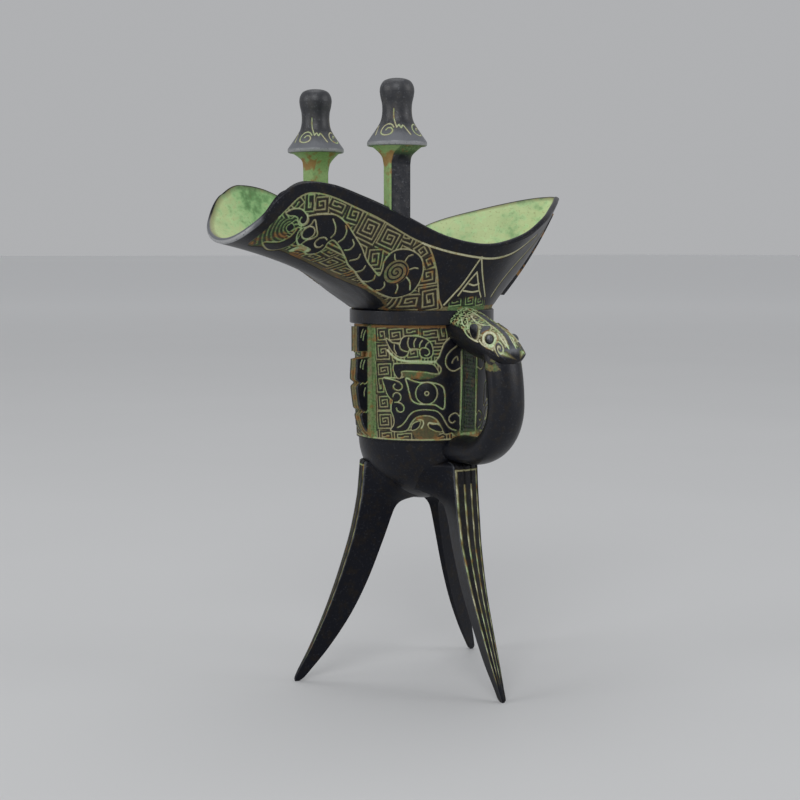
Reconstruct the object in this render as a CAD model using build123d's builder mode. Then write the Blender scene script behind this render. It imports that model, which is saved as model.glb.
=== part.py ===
from build123d import *
import os
from math import atan2, cos, degrees, radians, sin

os.makedirs("parts", exist_ok=True)

# A jue: the three-legged bronze wine vessel with a pouring spout, a pointed tail,
# two capped posts on the rim and a handle that hangs from a beast's mouth.
# Millimetres, +Z up. The origin is on the table under the middle of the round cup.
# The spout points along -X, the tail along +X, and the handle is on the -Y side.

# Cup: a half-round bowl below, a slightly flaring ornament zone above
bowl_radius = 23.5
bowl_centre_z = 92.0
cup_wall = 2.0
zone_step = 0.8
zone_flare = 0.9
shoulder_z = 134.1
seam_z = 136.7
neck_wall = 2.9
fit_gap = 0.05

bore_radius = bowl_radius - cup_wall
zone_foot_radius = bowl_radius + zone_step
zone_top_radius = zone_foot_radius + zone_flare
neck_radius = bore_radius + neck_wall

# Waist band: the plain ring that covers the seam between cup and mouth
band_proud = 1.6
band_top_z = 139.35
band_edge_round = 0.5

band_radius = zone_top_radius + band_proud

# Mouth: one flaring wall that becomes the spout on one side and the tail on the other.
# Each station is one upright section, from the tail to the spout: where the rim is
# (x, half width, height), then the belly that pulls the wall between foot and rim
# (distance from the axis, height).
mouth_wall = 2.0
mouth_ledge = 0.8

flare_foot_radius = band_radius - mouth_ledge
mouth_stations = [
    (67.6, 0.0, 180.9, 40.3, 139.8),
    (66.4, 2.6, 181.1, 41.5, 142.0),
    (62.5, 6.6, 180.8, 43.5, 148.0),
    (55.5, 13.8, 179.2, 43.5, 152.5),
    (46.0, 22.2, 176.3, 38.5, 153.0),
    (33.0, 32.3, 171.6, 31.5, 152.5),
    (19.0, 36.8, 165.5, 28.6, 152.0),
    (4.0, 34.8, 162.4, 27.7, 151.5),
    (-12.0, 30.8, 165.6, 28.8, 152.0),
    (-29.0, 27.8, 173.2, 34.5, 152.3),
    (-44.0, 26.1, 179.0, 42.0, 151.0),
    (-57.0, 24.5, 183.0, 53.0, 155.8),
    (-68.0, 22.7, 183.0, 62.5, 161.8),
    (-76.0, 21.0, 178.0, 66.8, 165.6),
    (-80.8, 18.2, 171.2, 65.5, 165.3),
    (-84.0, 13.0, 166.7, 59.0, 161.8),
    (-85.6, 6.5, 164.0, 51.0, 157.2),
    (-86.0, 0.0, 163.2, 47.0, 155.0),
]

# Tail fin: the thin keel under the tail
fin_thick = 3.0
fin_proud = 1.6
fin_proud_end = 0.6
fin_sunk = 1.0
fin_start = 0.36
fin_end = 0.93

# Flanges: three upright ridges on the ornament zone, each with a groove along its edge.
# The edge is a curve through three places: (distance from the zone's wall, height)
flange_thick = 4.6
flange_tongue = 0.7
flange_foot_z = 92.6
flange_top_z = 133.4
flange_edge = [(3.4, 98.4), (6.0, 112.0), (5.8, 121.6)]
flange_top_proud = 5.4
flange_notch_z = 122.4
flange_notch_high = 2.0
flange_notch_land = 1.0
flange_groove_wide = 1.4
flange_groove_deep = 1.0

# Legs: sabre blades with a fluted outer face. The leg under the handle stands further out at its top.
# The inner edge broadens towards the bowl, so that the sides sweep into it.
# Height, outer edge and inner edge from the cup's axis, width of the outer face, width of the inner edge
side_leg_sections = [
    (0.0, 48.9, 46.0, 2.0, 1.0),
    (4.0, 47.2, 42.4, 2.6, 1.1),
    (13.0, 42.6, 35.0, 4.3, 1.3),
    (25.0, 37.4, 27.0, 5.9, 1.6),
    (38.0, 32.6, 20.5, 7.4, 1.9),
    (53.0, 27.9, 14.7, 9.0, 2.4),
    (62.0, 25.8, 11.6, 9.6, 3.2),
    (67.0, 24.9, 9.7, 9.8, 5.0),
    (70.0, 24.4, 7.4, 9.9, 8.0),
    (75.0, 23.9, 4.0, 10.0, 13.0),
    (82.6, 23.3, 2.0, 10.2, 19.0),
]
handle_leg_sections = [
    (0.0, 48.9, 46.0, 2.0, 1.0),
    (4.0, 47.3, 43.6, 2.6, 1.1),
    (13.0, 43.8, 37.6, 4.3, 1.3),
    (25.0, 39.3, 31.2, 5.9, 1.6),
    (38.0, 34.8, 25.0, 7.6, 1.9),
    (53.0, 30.9, 19.9, 9.6, 2.4),
    (62.0, 29.5, 18.1, 10.4, 3.4),
    (68.0, 28.7, 16.6, 10.7, 5.6),
    (72.0, 28.3, 14.0, 10.8, 9.0),
    (76.0, 27.9, 9.0, 10.9, 13.0),
    (82.6, 27.4, 4.0, 11.1, 18.0),
]
legs = {
    "leg_handle_side": (-90.0, handle_leg_sections),
    "leg_spout_side": (153.0, side_leg_sections),
    "leg_tail_side": (27.0, side_leg_sections),
}
leg_flutes = 4
leg_crown_share = 0.1
leg_flute_deep_share = 0.045
leg_flute_wide_share = 0.09

# Handle: an oval bar that leaves the cup level, turns up and leans back into the beast's mouth
handle_half_wide = 7.4
handle_half_thick = 5.0
handle_reach = 48.6
handle_leg_gap = 1.4
handle_bend_radius = 17.5
handle_top_z = 126.5
handle_top_lean = 3.4

# Beast head: distance from the zone's wall, half width, top and underside of each cross-section
head_sections = [
    (-2.6, 7.4, 141.0, 127.4),
    (4.8, 7.8, 139.6, 124.2),
    (14.8, 8.1, 135.5, 121.6),
    (22.0, 7.8, 132.0, 122.0),
    (25.4, 6.8, 128.7, 123.2),
    (26.9, 5.4, 126.8, 124.2),
]
head_eye_radius = 2.2
head_eye_place = (5.3, 20.2, 129.9)
head_ear_radius = 3.0
head_ear_place = (4.9, 12.3, 132.0)
head_bump_turn = 45.0

# Posts: flat upright bars that hook over the rim, with a flared head under the cap
post_x = -30.2
post_wide = 8.6
post_deep = 4.4
post_inset = 0.3
post_corner_round = 0.9
post_seat_sink = 0.6
post_hook_deep = 6.0
post_hook_thick = 2.0
post_head_high = 5.2
post_head_radius = 8.8
post_pin_radius = 2.0
post_pin_long = 5.0

# Caps: a cone skirt, a column and a rounded knob
cap_base_z = 196.6
cap_skirt_radius = 10.4
cap_skirt_edge = 1.6
cap_column_foot_z = 205.3
cap_column_radius = 5.0
cap_knob_z = 215.4
cap_knob_radius = 6.0
cap_top_z = 220.0
cap_pin_gap = 0.1

up = Vector(0, 0, 1)
sides = {"near": -1.0, "far": 1.0}


def radial_plane(angle):
    """Upright plane through the cup's axis: local x runs outwards and local y is up."""
    outwards = Vector(cos(radians(angle)), sin(radians(angle)), 0)
    return Plane(origin=(0, 0, 0), x_dir=outwards, z_dir=outwards.cross(up))


def finish(piece, name):
    """Label one finished piece and write it."""
    piece.part.label = name
    export_step(piece.part, f"parts/{name}.step")
    print(f"{name}: {len(piece.part.solids())} solid, {piece.part.volume:.0f} mm3")


# Cup: the closed outer form is kept, because legs, handle and head are cut to it
with BuildPart() as cup_form:
    with BuildSketch(Plane.XZ):
        with BuildLine():
            CenterArc((0, bowl_centre_z), bowl_radius, -90, 90)
            Polyline(
                (bowl_radius, bowl_centre_z),
                (zone_foot_radius, bowl_centre_z),
                (zone_top_radius, shoulder_z),
                (neck_radius, shoulder_z),
                (neck_radius, seam_z),
                (0, seam_z),
                (0, bowl_centre_z - bowl_radius),
            )
        make_face()
    revolve(axis=Axis.Z)

flange_root_radius = zone_foot_radius - flange_tongue
slot_middle_z = (flange_foot_z + flange_top_z) / 2
slot_high = flange_top_z - flange_foot_z + 2 * fit_gap
slot_reach = zone_top_radius - flange_root_radius + fit_gap

with BuildPart() as cup:
    add(cup_form.part)
    with BuildSketch(Plane.XZ):
        with BuildLine():
            CenterArc((0, bowl_centre_z), bore_radius, -90, 90)
            Polyline(
                (bore_radius, bowl_centre_z),
                (bore_radius, seam_z),
                (0, seam_z),
                (0, bowl_centre_z - bore_radius),
            )
        make_face()
    revolve(axis=Axis.Z, mode=Mode.SUBTRACT)
    with Locations((0, 0, slot_middle_z)):
        with PolarLocations(flange_root_radius - fit_gap, 3, 0, 180, endpoint=True):
            Box(
                2 * slot_reach,
                flange_thick + 2 * fit_gap,
                slot_high,
                align=(Align.MIN, Align.CENTER, Align.CENTER),
                mode=Mode.SUBTRACT,
            )
finish(cup, "cup")

# Waist band: stands on the cup's shoulder and carries the mouth's ledge.
# The filled form is kept, because the beast head is cut to it.
band_high = band_top_z - shoulder_z
upright = (Align.CENTER, Align.CENTER, Align.MIN)
with BuildPart(Plane.XY.offset(shoulder_z)) as band_form:
    Cylinder(band_radius, band_high, align=upright)
    fillet(band_form.edges().filter_by(GeomType.CIRCLE), band_edge_round)

with BuildPart() as waist_band:
    add(band_form.part)
    with Locations((0, 0, shoulder_z)):
        Cylinder(neck_radius + fit_gap, band_high, align=upright, mode=Mode.SUBTRACT)
finish(waist_band, "waist_band")


# Mouth: sections in upright planes through the axis, with one more between each two stations
def station_points(station, side):
    """Rim in space, then belly as (distance from the axis, height); side is -1 for the handle's side."""
    x, half_width, z, belly_reach, belly_z = station
    return Vector(x, side * half_width, z), Vector(belly_reach, belly_z)


def between(before, start, end, after):
    """The four-point rule: the place half way along a smooth curve through four points."""
    return ((start + end) * 9 - before - after) * (1 / 16)


def inner_point(point, along, rising, plane):
    """The point one wall thickness inside the surface, moved along the wall into the section's plane."""
    outward = rising.cross(along).normalized()
    slide = outward.dot(plane.z_dir) / along.dot(plane.z_dir)
    inside = point - (outward - along * slide) * mouth_wall
    local = plane.to_local_coords(inside)
    return (local.X, local.Y)


past_tail = [station_points(station, 1.0) for station in mouth_stations[3:0:-1]]
this_side = [station_points(station, -1.0) for station in mouth_stations]
past_spout = [station_points(station, 1.0) for station in mouth_stations[-2:-5:-1]]
ring = past_tail + this_side + past_spout

section_list = []
for neighbours in zip(ring, ring[1:], ring[2:], ring[3:]):
    rims = [rim for rim, belly in neighbours]
    bellies = [belly for rim, belly in neighbours]
    section_list.append(neighbours[1])
    section_list.append((between(*rims), between(*bellies)))

sections = []
for rim, belly in section_list:
    plane = radial_plane(degrees(atan2(rim.Y, rim.X)))
    sections.append((plane, rim, plane.from_local_coords(belly)))

with BuildPart() as mouth:
    for index in range(1, len(sections) - 1):
        plane, rim, belly = sections[index]
        rim_along = sections[index + 1][1] - sections[index - 1][1]
        belly_along = sections[index + 1][2] - sections[index - 1][2]
        foot = plane.from_local_coords((flare_foot_radius, band_top_z))
        rim_inside = inner_point(rim, rim_along, rim - belly, plane)
        belly_inside = inner_point(belly, belly_along, rim - foot, plane)
        rim_outside = plane.to_local_coords(rim)
        belly_outside = plane.to_local_coords(belly)
        with BuildSketch(plane):
            with BuildLine():
                Polyline(
                    (bore_radius, seam_z),
                    (neck_radius, seam_z),
                    (neck_radius, band_top_z),
                    (flare_foot_radius, band_top_z),
                )
                Bezier((flare_foot_radius, band_top_z), belly_outside, rim_outside)
                Line(rim_outside, rim_inside)
                Bezier(rim_inside, belly_inside, (bore_radius, band_top_z))
                Line((bore_radius, band_top_z), (bore_radius, seam_z))
            make_face()
    loft()
    split(bisect_by=Plane.XZ, keep=Keep.TOP)
    mirror(about=Plane.XZ)
finish(mouth, "mouth")


def rim_at(x):
    """Half width and height of the rim at one place along the vessel."""
    for ahead, behind in zip(mouth_stations, mouth_stations[1:]):
        if behind[0] <= x <= ahead[0]:
            share = (ahead[0] - x) / (ahead[0] - behind[0])
            half_width = ahead[1] + share * (behind[1] - ahead[1])
            return half_width, ahead[2] + share * (behind[2] - ahead[2])
    raise ValueError(f"no rim at x = {x}")


# Tail fin: follows the tail's centre line and dies out towards the tip
def keel_point(share, proud):
    """A point on the tail's centre line, moved square to it by the given height."""
    tip = mouth_stations[0]
    start = Vector(flare_foot_radius, band_top_z)
    belly = Vector(tip[3], tip[4])
    end = Vector(tip[0], tip[2])
    point = start * (1 - share) ** 2 + belly * (2 * share * (1 - share)) + end * share**2
    heading = ((belly - start) * (1 - share) + (end - belly) * share).normalized()
    return point + Vector(heading.Y, -heading.X) * proud


fin_middle = (fin_start + fin_end) / 2
fin_proud_middle = (fin_proud + fin_proud_end) / 2
with BuildPart() as tail_fin:
    with BuildSketch(Plane.XZ):
        with BuildLine():
            outer = Spline(
                keel_point(fin_start, fin_proud),
                keel_point(fin_middle, fin_proud_middle),
                keel_point(fin_end, fin_proud_end),
            )
            inner = Spline(
                keel_point(fin_start, -fin_sunk),
                keel_point(fin_middle, -fin_sunk),
                keel_point(fin_end, -fin_sunk),
            )
            Line(outer @ 0, inner @ 0)
            Line(outer @ 1, inner @ 1)
        make_face()
    extrude(amount=fin_thick / 2, both=True)
    add(mouth.part, mode=Mode.SUBTRACT)
finish(tail_fin, "tail_fin")

# Flanges: a tongue sits in the cup's slot, and one deep notch splits the edge near the top.
# Two outer leaves and a lower leaf between them leave the groove along the edge.
flange_angles = {"flange_tail": 0.0, "flange_back": 90.0, "flange_spout": 180.0}
flange_top_reach = zone_top_radius + flange_top_proud
notch_reach = zone_top_radius + flange_notch_land
notch_top_z = flange_notch_z + flange_notch_high
leaf_thick = (flange_thick - flange_groove_wide) / 2
flange_leaves = [
    (-flange_thick / 2, leaf_thick, 0.0),
    (-flange_groove_wide / 2, flange_groove_wide, flange_groove_deep),
    (flange_groove_wide / 2, leaf_thick, 0.0),
]

for name, angle in flange_angles.items():
    with BuildPart() as flange:
        for leaf_start, thick, lowered in flange_leaves:
            edge_places = [(zone_top_radius + proud - lowered, z) for proud, z in flange_edge]
            with BuildSketch(radial_plane(angle).offset(leaf_start)):
                with BuildLine():
                    edge = Spline((zone_foot_radius, flange_foot_z), *edge_places)
                    Polyline(
                        edge @ 1,
                        (notch_reach, flange_notch_z),
                        (notch_reach, notch_top_z),
                        (flange_top_reach - lowered, notch_top_z),
                        (flange_top_reach - lowered, flange_top_z),
                        (flange_root_radius, flange_top_z),
                        (flange_root_radius, flange_foot_z),
                        edge @ 0,
                    )
                make_face()
            extrude(amount=thick)
    finish(flange, name)


# Legs
def leg_outline(outer, inner, face_width, edge_width):
    """One level cut through a leg: a crowned face with V flutes, and a narrow inner edge."""
    flute_half = leg_flute_wide_share * face_width / 2
    flute_deep = leg_flute_deep_share * face_width
    places = [-face_width / 2]
    cuts = [0.0]
    for flute in range(leg_flutes):
        middle = face_width * ((flute + 1) / (leg_flutes + 1) - 0.5)
        places += [middle - flute_half, middle, middle + flute_half]
        cuts += [0.0, flute_deep, 0.0]
    places.append(face_width / 2)
    cuts.append(0.0)
    crown = leg_crown_share * face_width
    face = [
        (outer - crown * (2 * place / face_width) ** 2 - cut, place)
        for place, cut in zip(places, cuts)
    ]
    return face + [(inner, edge_width / 2), (inner, -edge_width / 2)]


for name, (angle, leg_sections) in legs.items():
    with BuildPart() as leg:
        for z, outer_edge, inner_edge, face_width, edge_width in leg_sections:
            outwards = Vector(cos(radians(angle)), sin(radians(angle)), 0)
            with BuildSketch(Plane(origin=(0, 0, z), x_dir=outwards, z_dir=up)):
                with BuildLine():
                    Polyline(*leg_outline(outer_edge, inner_edge, face_width, edge_width), close=True)
                make_face()
        loft()
        add(cup_form.part, mode=Mode.SUBTRACT)
    finish(leg, name)

# Handle: just above its leg, level out of the cup, a quarter turn up, then a long lean back
handle_leg_top_z = handle_leg_sections[-1][0]
handle_root_z = handle_leg_top_z + handle_leg_gap + handle_half_thick
handle_turn_z = handle_root_z + handle_bend_radius
handle_rise = handle_top_z - handle_turn_z
handle_lean_radius = (handle_rise**2 + handle_top_lean**2) / (2 * handle_top_lean)
handle_lean_angle = degrees(atan2(handle_rise, handle_lean_radius - handle_top_lean))
handle_start = (-(bore_radius + fit_gap), handle_root_z)

with BuildPart() as handle:
    with BuildLine(Plane.YZ) as handle_path:
        level = Line(handle_start, (handle_bend_radius - handle_reach, handle_root_z))
        turn = JernArc(level @ 1, (-1, 0), handle_bend_radius, -90)
        JernArc(turn @ 1, (0, 1), handle_lean_radius, -handle_lean_angle)
    handle_end = Plane(origin=(0, handle_start[0], handle_root_z), x_dir=(1, 0, 0), z_dir=(0, -1, 0))
    with BuildSketch(handle_end):
        Ellipse(handle_half_wide, handle_half_thick)
    sweep(path=handle_path.line)
    add(cup_form.part, mode=Mode.SUBTRACT)
finish(handle, "handle")

# Beast head: snout over the handle's top end, back cut to cup, band and mouth
with BuildPart() as beast_head:
    for from_wall, half_width, top_z, under_z in head_sections:
        with BuildSketch(Plane.XZ.offset(zone_top_radius + from_wall)):
            widest_z = (top_z + under_z) / 2
            with BuildLine():
                ThreePointArc((-half_width, widest_z), (0, top_z), (half_width, widest_z))
                ThreePointArc((half_width, widest_z), (0, under_z), (-half_width, widest_z))
            make_face()
    loft()
    for side in sides.values():
        eye_x, eye_from_wall, eye_z = head_eye_place
        ear_x, ear_from_wall, ear_z = head_ear_place
        bump_turn = (0, -side * head_bump_turn, 0)
        with Locations((side * eye_x, -zone_top_radius - eye_from_wall, eye_z)):
            Sphere(head_eye_radius, rotation=bump_turn)
        with Locations((side * ear_x, -zone_top_radius - ear_from_wall, ear_z)):
            Sphere(head_ear_radius, rotation=bump_turn)
    add(cup_form.part, mode=Mode.SUBTRACT)
    add(band_form.part, mode=Mode.SUBTRACT)
    add(mouth.part, mode=Mode.SUBTRACT)
    add(handle.part, mode=Mode.SUBTRACT)
finish(beast_head, "beast_head")

# Posts and caps
rim_half_width = rim_at(post_x)[0]
slope_ahead = rim_at(post_x + post_wide / 2)[1]
slope_behind = rim_at(post_x - post_wide / 2)[1]
post_outer_y = rim_half_width - post_inset
post_y = post_outer_y - post_deep / 2
post_left = post_x - post_wide / 2
post_right = post_x + post_wide / 2
post_head_z = cap_base_z - post_head_high

for side_name, side in sides.items():
    with BuildPart() as post:
        with BuildSketch(Plane.XZ.offset(-side * post_outer_y)):
            Polygon(
                (post_left, slope_behind - post_seat_sink),
                (post_right, slope_ahead - post_seat_sink),
                (post_right, post_head_z + post_corner_round),
                (post_left, post_head_z + post_corner_round),
                align=None,
            )
        extrude(amount=side * post_deep)
        fillet(post.edges().filter_by(Axis.Z), post_corner_round)
        with BuildSketch(Plane.XZ.offset(-side * (post_outer_y - post_deep + post_hook_thick))):
            Polygon(
                (post_left + post_corner_round, slope_behind - post_hook_deep),
                (post_right - post_corner_round, slope_ahead - post_hook_deep),
                (post_right - post_corner_round, slope_behind),
                (post_left + post_corner_round, slope_behind),
                align=None,
            )
        extrude(amount=side * post_hook_thick)
        add(mouth.part, mode=Mode.SUBTRACT)
        with BuildSketch(Plane(origin=(post_x, side * post_y, post_head_z))):
            Ellipse(post_wide / 2, post_deep / 2 + post_corner_round)
        with BuildSketch(Plane(origin=(post_x, side * post_y, post_head_z + post_head_high / 2))):
            Ellipse(post_wide / 2 + post_corner_round, post_wide / 2)
        with BuildSketch(Plane(origin=(post_x, side * post_y, cap_base_z))):
            Ellipse(post_head_radius, post_head_radius - fit_gap)
        loft()
        with Locations((post_x, side * post_y, cap_base_z)):
            Cylinder(post_pin_radius, post_pin_long, align=upright)
    finish(post, f"post_{side_name}")

    with BuildPart() as cap:
        with BuildSketch(Plane.XZ):
            with BuildLine():
                Polyline(
                    (0, cap_top_z),
                    (0, cap_base_z),
                    (cap_skirt_radius, cap_base_z),
                    (cap_skirt_radius, cap_base_z + cap_skirt_edge),
                    (cap_column_radius, cap_column_foot_z),
                )
                Spline(
                    (cap_column_radius, cap_column_foot_z),
                    (cap_knob_radius, cap_knob_z),
                    tangents=((0, 1), (0, 1)),
                )
                Spline(
                    (cap_knob_radius, cap_knob_z),
                    (0, cap_top_z),
                    tangents=((0, 1), (-1, 0)),
                )
            make_face()
        revolve(axis=Axis.Z)
        with Locations((0, 0, cap_base_z)):
            Cylinder(
                post_pin_radius + cap_pin_gap,
                post_pin_long + cap_pin_gap,
                align=upright,
                mode=Mode.SUBTRACT,
            )
    cap.part = cap.part.moved(Location((post_x, side * post_y, 0)))
    finish(cap, f"cap_{side_name}")
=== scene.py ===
# %% [markdown]
# # A bronze jue, dressed in Blender
# The solids of this wine vessel come from a CAD model. They are loaded first and never moved. This lesson
# adds what a caster's mould and three thousand years of soil add: carved ornament, green patina and worn
# edges.

# %% Load the solids
import math

import bpy
import numpy as np
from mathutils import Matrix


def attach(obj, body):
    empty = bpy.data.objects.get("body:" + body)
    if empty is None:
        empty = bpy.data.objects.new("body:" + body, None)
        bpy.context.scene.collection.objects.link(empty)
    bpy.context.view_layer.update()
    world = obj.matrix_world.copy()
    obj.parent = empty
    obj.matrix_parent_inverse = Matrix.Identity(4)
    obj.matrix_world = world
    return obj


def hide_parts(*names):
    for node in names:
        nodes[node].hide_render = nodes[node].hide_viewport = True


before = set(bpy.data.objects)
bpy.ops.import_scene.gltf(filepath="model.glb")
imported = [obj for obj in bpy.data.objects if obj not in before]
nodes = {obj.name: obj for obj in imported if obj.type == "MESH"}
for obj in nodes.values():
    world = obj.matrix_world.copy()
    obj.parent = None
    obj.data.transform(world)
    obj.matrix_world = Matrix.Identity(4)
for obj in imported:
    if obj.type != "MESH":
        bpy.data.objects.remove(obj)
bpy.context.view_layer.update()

bpy.ops.object.select_all(action="DESELECT")

# %% [markdown]
# ## Camera and studio
# The picture was taken from the spout's side, a little above the cup. A long lens keeps the legs upright.
# Dark metal shows mostly what it reflects, so large soft lamps matter more here than strong ones.

# %% Camera
millimetre = 0.001
scene = bpy.context.scene
scene.view_settings.view_transform = "Standard"
camera_turn = math.radians(-37.6)
camera_far = 0.615
camera_high = 0.161
camera_tilt = (84.8, 0, -36.85)
lens_length = 74.25
sensor_width = 36
bpy.ops.object.camera_add(
    location=(camera_far * math.sin(camera_turn), -camera_far * math.cos(camera_turn), camera_high),
    rotation=[math.radians(angle) for angle in camera_tilt],
)
camera = bpy.context.object
camera.data.lens = lens_length
camera.data.sensor_width = sensor_width
scene.camera = camera
print("camera at", [round(value, 3) for value in camera.location])


# %% Lamps, floor and backdrop
def soft_lamp(name, place, aim_high, width, power):
    """A square lamp that faces a point on the cup's axis."""
    bpy.ops.object.light_add(type="AREA", location=place)
    lamp = bpy.context.object
    lamp.name = name
    lamp.data.size = width
    lamp.data.energy = power
    aim = lamp.location - type(lamp.location)((0, 0, aim_high))
    lamp.rotation_euler = aim.to_track_quat("Z", "Y").to_euler()


soft_lamp("lamp_front", (-1.5, -1.6, 1.5), aim_high=0.13, width=1.3, power=20.0)
soft_lamp("lamp_right", (1.6, -1.8, 0.9), aim_high=0.12, width=1.1, power=10.0)
soft_lamp("lamp_left", (-2.0, 0.5, 0.8), aim_high=0.12, width=1.0, power=8.0)
soft_lamp("lamp_above", (0.2, 0.4, 2.3), aim_high=0.15, width=1.5, power=10.0)

floor_size = 80
bpy.ops.mesh.primitive_plane_add(size=floor_size)
floor = bpy.context.object
floor.name = "floor"

# %% [markdown]
# ## Writing shaders as sums
# A finish is a small calculation at every point of the surface. The class below wraps one node output, so
# that the calculation reads like arithmetic, and every plus or times adds its Math node by itself.


# %% A wrapper for shader sockets
class Wire:
    """One value in a node tree. Arithmetic on it adds Math nodes."""

    def __init__(self, tree, socket):
        self.tree = tree
        self.socket = socket

    def node(self, kind, settings, values, output=0):
        """Add any other node: its settings first, then the values or links of its sockets."""
        made = self.tree.nodes.new(kind)
        for key, value in settings.items():
            setattr(made, key, value)
        plug(made, values)
        return Wire(self.tree, made.outputs[output])

    def maths(self, operation, first, second):
        """Add one Math node."""
        return self.node("ShaderNodeMath", {"operation": operation}, {0: first, 1: second})

    def __add__(self, other):
        return self.maths("ADD", self, other)

    __radd__ = __add__

    def __sub__(self, other):
        return self.maths("SUBTRACT", self, other)

    def __rsub__(self, other):
        return self.maths("SUBTRACT", other, self)

    def __mul__(self, other):
        return self.maths("MULTIPLY", self, other)

    __rmul__ = __mul__

    def most(self, other):
        """The larger of two values."""
        return self.maths("MAXIMUM", self, other)

    def between(self, low, high):
        """0 below low, 1 above high and a soft step from one to the other."""
        return self.node(
            "ShaderNodeMapRange",
            {"interpolation_type": "SMOOTHSTEP"},
            {"Value": self, "From Min": low, "From Max": high},
        )

    def mix(self, start, end):
        """A colour that goes from start to end as this value goes from 0 to 1."""
        start, end = ((*colour, 1) if isinstance(colour, tuple) else colour for colour in (start, end))
        # a Mix node's two colours are its inputs 6 and 7, and the mixed colour is its output 2
        return self.node("ShaderNodeMix", {"data_type": "RGBA"}, {"Factor": self, 6: start, 7: end}, 2)


def plug(node, values):
    """Link or set a node's inputs."""
    for key, value in values.items():
        if isinstance(value, Wire):
            value.tree.links.new(value.socket, node.inputs[key])
        else:
            node.inputs[key].default_value = value


def new_finish(name):
    """A material with a bare surface shader, and a first wire to start from."""
    material = bpy.data.materials.new(name)
    material.use_nodes = True
    tree = material.node_tree
    surface = tree.nodes["Principled BSDF"]
    place = Wire(tree, tree.nodes.new("ShaderNodeTexCoord").outputs["Object"])
    return material, surface, place


def noise(place, scale, detail=3.0):
    """Cloudy noise from 0 to 1; the scale is in clouds per metre."""
    values = {"Vector": place, "Scale": scale, "Detail": detail, "Roughness": 0.55}
    return place.node("ShaderNodeTexNoise", {}, values)


print("shader tools ready")

# %% [markdown]
# ## The studio's own finishes
# The floor is pale and matt, and its colour is painted paler with distance to make up for the lamps' light
# falling off. It and the world look pale to the camera and to reflections, while the light that reaches the
# vessel stays at a plain level.

# %% Floor and world
floor_grey = (0.60, 0.605, 0.61)
floor_light = (0.64, 0.645, 0.65)
floor_horizon = (0.93, 0.935, 0.94)
horizon_start = 0.5
horizon_end = 4.5
pale_floor, floor_surface, floor_place = new_finish("pale_floor")
floor_cloud = noise(floor_place, 3.0).mix(floor_grey, floor_light)
floor_far = floor_place.node("ShaderNodeVectorMath", {"operation": "LENGTH"}, {0: floor_place}, "Value")
# painted light: the floor's colour grows paler with distance, where the lamps' light falls off
floor_colour = floor_far.between(horizon_start, horizon_end).mix(floor_cloud, floor_horizon)
plug(floor_surface, {"Base Color": floor_colour, "Roughness": 0.7, "Specular IOR Level": 0.2})
floor.data.materials.append(pale_floor)

world_colour = (0.80, 0.81, 0.83, 1)
world_light = 0.52
seen_light = 0.02
world = bpy.data.worlds.new("studio")
scene.world = world
world.use_nodes = True
ray = world.node_tree.nodes.new("ShaderNodeLightPath")
ray_kinds = ("Is Camera Ray", "Is Glossy Ray", "Is Transmission Ray")
to_camera, to_gloss, through_glass = (Wire(world.node_tree, ray.outputs[kind]) for kind in ray_kinds)
seen = to_camera.most(to_gloss).most(through_glass)
backdrop = world.node_tree.nodes["Background"]
plug(backdrop, {"Color": world_colour, "Strength": world_light + seen * seen_light})
print("studio finishes ready")

# %% [markdown]
# ## Bronze and its patina
# The metal is almost black and has a soft sheen. Patina collects where hands don't reach: in the grooves
# and inside the mouth it is yellow-green, with brown and orange stains. Raised edges are rubbed to a pale
# grey, and on the spout's lip, the beast's eyeball and the caps a painted sheen makes them paler still.
# Each carved piece carries attributes that say, at every point, how deep in a groove it is, how worn it
# is together with that painted sheen, and whether it is inside the vessel. The finish only has to read
# them.

# %% Bronze finishes
dark_metal = (0.0056, 0.0064, 0.0108)
brown_metal = (0.0120, 0.0098, 0.0092)
# the grey of worn edges, which also serves as a painted sheen on the caps' skirts, and a pale grey that is
# a painted sheen on the spout's lip, the beast's eyeball and the caps' brims
worn_and_sheen_grey = (0.125, 0.132, 0.148)
painted_sheen_metal = (0.360, 0.365, 0.370)
olive_deep = (0.120, 0.098, 0.042)
olive_pale = (0.285, 0.270, 0.150)
green_deep = (0.058, 0.105, 0.040)
green_pale = (0.250, 0.370, 0.150)
rust = (0.290, 0.125, 0.040)
chalk_green = (0.560, 0.730, 0.440)
chalk_cream = (0.720, 0.710, 0.510)
lining_dark = (0.150, 0.290, 0.120)
lining_green = (0.310, 0.550, 0.250)
lining_pale = (0.625, 0.800, 0.430)
soil_brown = (0.200, 0.145, 0.070)
# what a carved piece says about each of its points
layer_names = ("recess", "inside", "wear", "stain", "green")
# clouds per metre of the three noises that all bronze shares
broad_scale = 85.0
cloud_scale = 330.0
grain_scale = 1250.0


def attribute(place, name):
    """A value that the mesh carries at each point, 0 where it has none."""
    # the plain number is the third output of an Attribute node
    return place.node("ShaderNodeAttribute", {"attribute_name": name}, {}, 2)


def metal_colour(wear, cloud, grain, mottle):
    """Dark metal with brown clouds, grey where it is worn and where a sheen is painted on, and pale where
    that painted sheen is strongest.
    """
    metal = cloud.between(0.46, 0.68).mix(dark_metal, brown_metal)
    wear_and_sheen_amount = (wear * (0.95 + mottle * (cloud - 0.5))).between(0.3, 1.0)
    metal = wear_and_sheen_amount.mix(metal, worn_and_sheen_grey)
    # wear values above 1 are a painted sheen: pale metal on the lip, the eyeball and the caps' brims
    metal = wear.between(1.0, 1.6).mix(metal, painted_sheen_metal)
    specks = grain.between(0.58, 0.72) * (0.12 + 0.7 * wear)
    return specks.mix(metal, worn_and_sheen_grey)


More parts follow.
